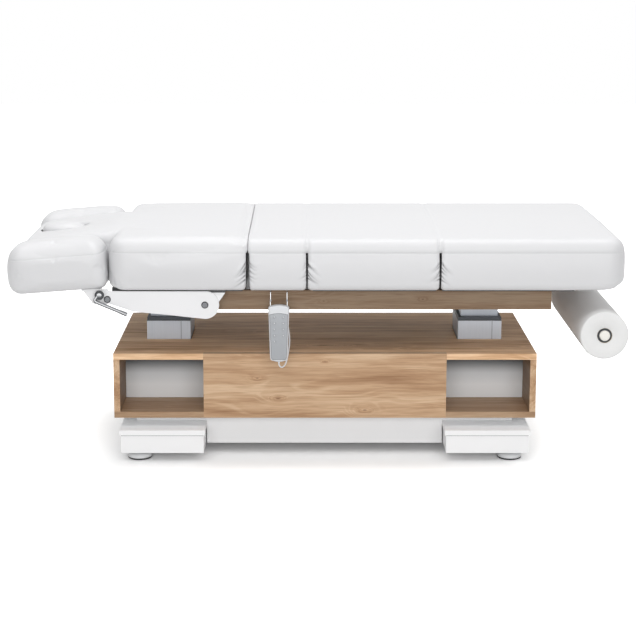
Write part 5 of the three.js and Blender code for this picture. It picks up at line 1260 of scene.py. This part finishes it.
# Release levers and the bolts of the armrests
RING = [(0.0056, -0.0045), (0.0128, -0.0045), (0.0146, -0.0036), (0.015, -0.0015), (0.015, 0.0015),
        (0.0146, 0.0036), (0.0128, 0.0045), (0.0056, 0.0045), (0.0056, -0.0045)]
EYE = [(0.0, 0.0052), (0.0060, 0.0051), (0.0082, 0.0043), (0.0090, 0.0030), (0.0090, -0.0040), (0.0, -0.0040)]
BOLT = [(0.0, 0.0048), (0.0030, 0.0048), (0.0034, 0.0043), (0.0040, 0.0043), (0.0046, 0.0049),
        (0.0068, 0.0049), (0.0080, 0.0041), (0.0083, 0.0022), (0.0083, 0.0002)]
WASHER = [(0.0084, 0.0), (0.0112, 0.0), (0.0112, 0.0008), (0.0084, 0.0010), (0.0084, 0.0)]
lever_slope = math.radians(-23)
along = Vector((math.cos(lever_slope), 0, math.sin(lever_slope)))
for side, sign in (("front", -1), ("rear", 1)):
    x, y, z = pivot = (at_x(-711), sign * 0.3793, 0.565)
    lever = f"{side}_lever"
    root = Vector((x - 0.017, y, z - 0.019))
    rod_path = bend_path([(x - 0.006, y, z - 0.004), root, root + along * 0.112], 0.009, 8)
    finish_piece(tube(f"lever_rod_{side}", rod_path, 0.0056, 24), lever, "rod_metal", "chrome",
                 f"release_lever_{side}", sharp=60)
    radii = [0.0060 if k % 6 in (2, 3) else 0.0070 for k in range(25)]
    radii[0] = radii[-1] = 0.0058
    grip_path = [root + along * (0.088 + 0.001 * k) for k in range(25)]
    finish_piece(tube(f"lever_grip_{side}", grip_path, radii, 24), lever, "rod_metal", "chrome")
    turned(f"lever_ring_{side}", RING, pivot, "Y", 48, lever, "dark", "black_steel", sharp=40)
    turned(f"lever_eye_{side}", EYE, pivot, "Y", 40, lever, "rod_metal", "chrome", sharp=40, heights=sign)
    for name, body, x, z in (("arm", "back", at_x(-380), 0.532), ("pad", f"{side}_pad", at_x(-687), 0.550)):
        turned(f"{name}_bolt_{side}", BOLT, (x, sign * 0.3723, z), "Y", 48, body, "zinc", "chrome", sharp=35,
               heights=sign)
        turned(f"{name}_washer_{side}", WASHER, (x, sign * 0.3722, z), "Y", 48, body, "dark", "chrome",
               heights=sign)

# Levelling feet
FOOT = [(0.0, 0.0), (0.0365, 0.0), (0.0388, 0.0007), (0.0398, 0.003), (0.0398, 0.0057), (0.0385, 0.0061),
        (0.0388, 0.0068), (0.0388, 0.0105), (0.0378, 0.0132), (0.0345, 0.0162), (0.029, 0.0182),
        (0.018, 0.0192), (0.0128, 0.0202), (0.0112, 0.0236), (0.0084, 0.0250), (0.0079, 0.0262),
        (0.0079, 0.064), (0.0, 0.064)]
NUT = [(0.0081, 0.0255), (0.0125, 0.0255), (0.0132, 0.0261), (0.0132, 0.0291), (0.0125, 0.0297),
       (0.0081, 0.0297), (0.0081, 0.0255)]
for end, x in (("left", at_x(-604)), ("right", at_x(604))):
    for side, y in (("front", -0.268), ("rear", 0.268)):
        body = f"foot_{side}_{end}"
        turned(body, FOOT, (x, y, 0), "Z", 72, body, "foot", "white_plastic", f"levelling_foot_{side}_{end}",
               sharp=60)
        turned(f"foot_nut_{side}_{end}", NUT, (x, y, 0), "Z", 6, body, "chrome", "chrome", sharp=20)


# Stage and light
def stage_material():
    """White ground with a glow that is painted light: weak beside the base, so the shadow stays there, and
    strong further out, where the ground turns plain white.
    """
    m = Mat("pale_floor", (0.60, 0.60, 0.60, 1), 1.0, specular=0.0)
    here = m.place()
    beyond = [m.math("MAXIMUM", m.minus(m.math("ABSOLUTE", m.axis(here, which)), reach), 0.0)
              for which, reach in (("X", 0.60), ("Y", 0.34))]
    away = m.math("SQRT", m.plus(*(m.times(b, b) for b in beyond)))
    lit = m.node("ShaderNodeBsdfDiffuse", Color=(1, 1, 1, 1))
    # painted light: the glow grows with the distance from the base
    glow = m.node("ShaderNodeEmission", Color=(1, 1, 1, 1), Strength=m.span(away, 0.06, 0.75, 0.0, 0.26))
    both = m.nodes.new("ShaderNodeAddShader")
    m.set(both, 0, lit.outputs[0])
    m.set(both, 1, glow.outputs[0])
    seen = m.choose(m.plain_rays(), m.bsdf.outputs[0], both.outputs[0])
    m.set(m.nodes["Material Output"], "Surface", seen)
    return m.mat


floor = add_mesh("floor", [(-12, -9, 0), (12, -9, 0), (12, 12, 0), (-12, 12, 0)], [(0, 1, 2, 3)], False)
floor.location.z = -0.0002
floor.data.materials.append(stage_material())

world = bpy.data.worlds.new("studio")
scene.world = world
world.use_nodes = True
sky = Tree(world.node_tree)
room = sky.nodes["Background"]
sky.set(room, "Color", (1, 1, 1, 1))
height = sky.axis(sky.nodes.new("ShaderNodeTexCoord").outputs["Generated"], "Z")
sky.set(room, "Strength", sky.span(height, 0.03, 1.09))
white = sky.node("ShaderNodeBackground", Color=(1, 1, 1, 1), Strength=1.0)
sky.set(sky.nodes["World Output"], "Surface", sky.choose(sky.plain_rays(), room.outputs[0], white.outputs[0]))


def area(name, location, target, size, power):
    light = bpy.data.lights.new(name, "AREA")
    light.shape = "RECTANGLE"
    light.size, light.size_y = size
    light.energy = power
    obj = link(name, light)
    obj.location = location
    obj.rotation_euler = (Vector(target) - Vector(location)).to_track_quat("-Z", "Y").to_euler()


area("key", (-0.3, -2.75, 4.0), (0, 0, 0.5), (3.4, 1.2), 24)
area("front_fill", (0.2, -5.6, 1.9), (0, 0, 0.45), (5.0, 1.6), 122)
area("overhead", (0.2, 0.3, 4.2), (0.1, 0, 0.6), (3.4, 2.0), 54)
scene.view_settings.view_transform = "Standard"
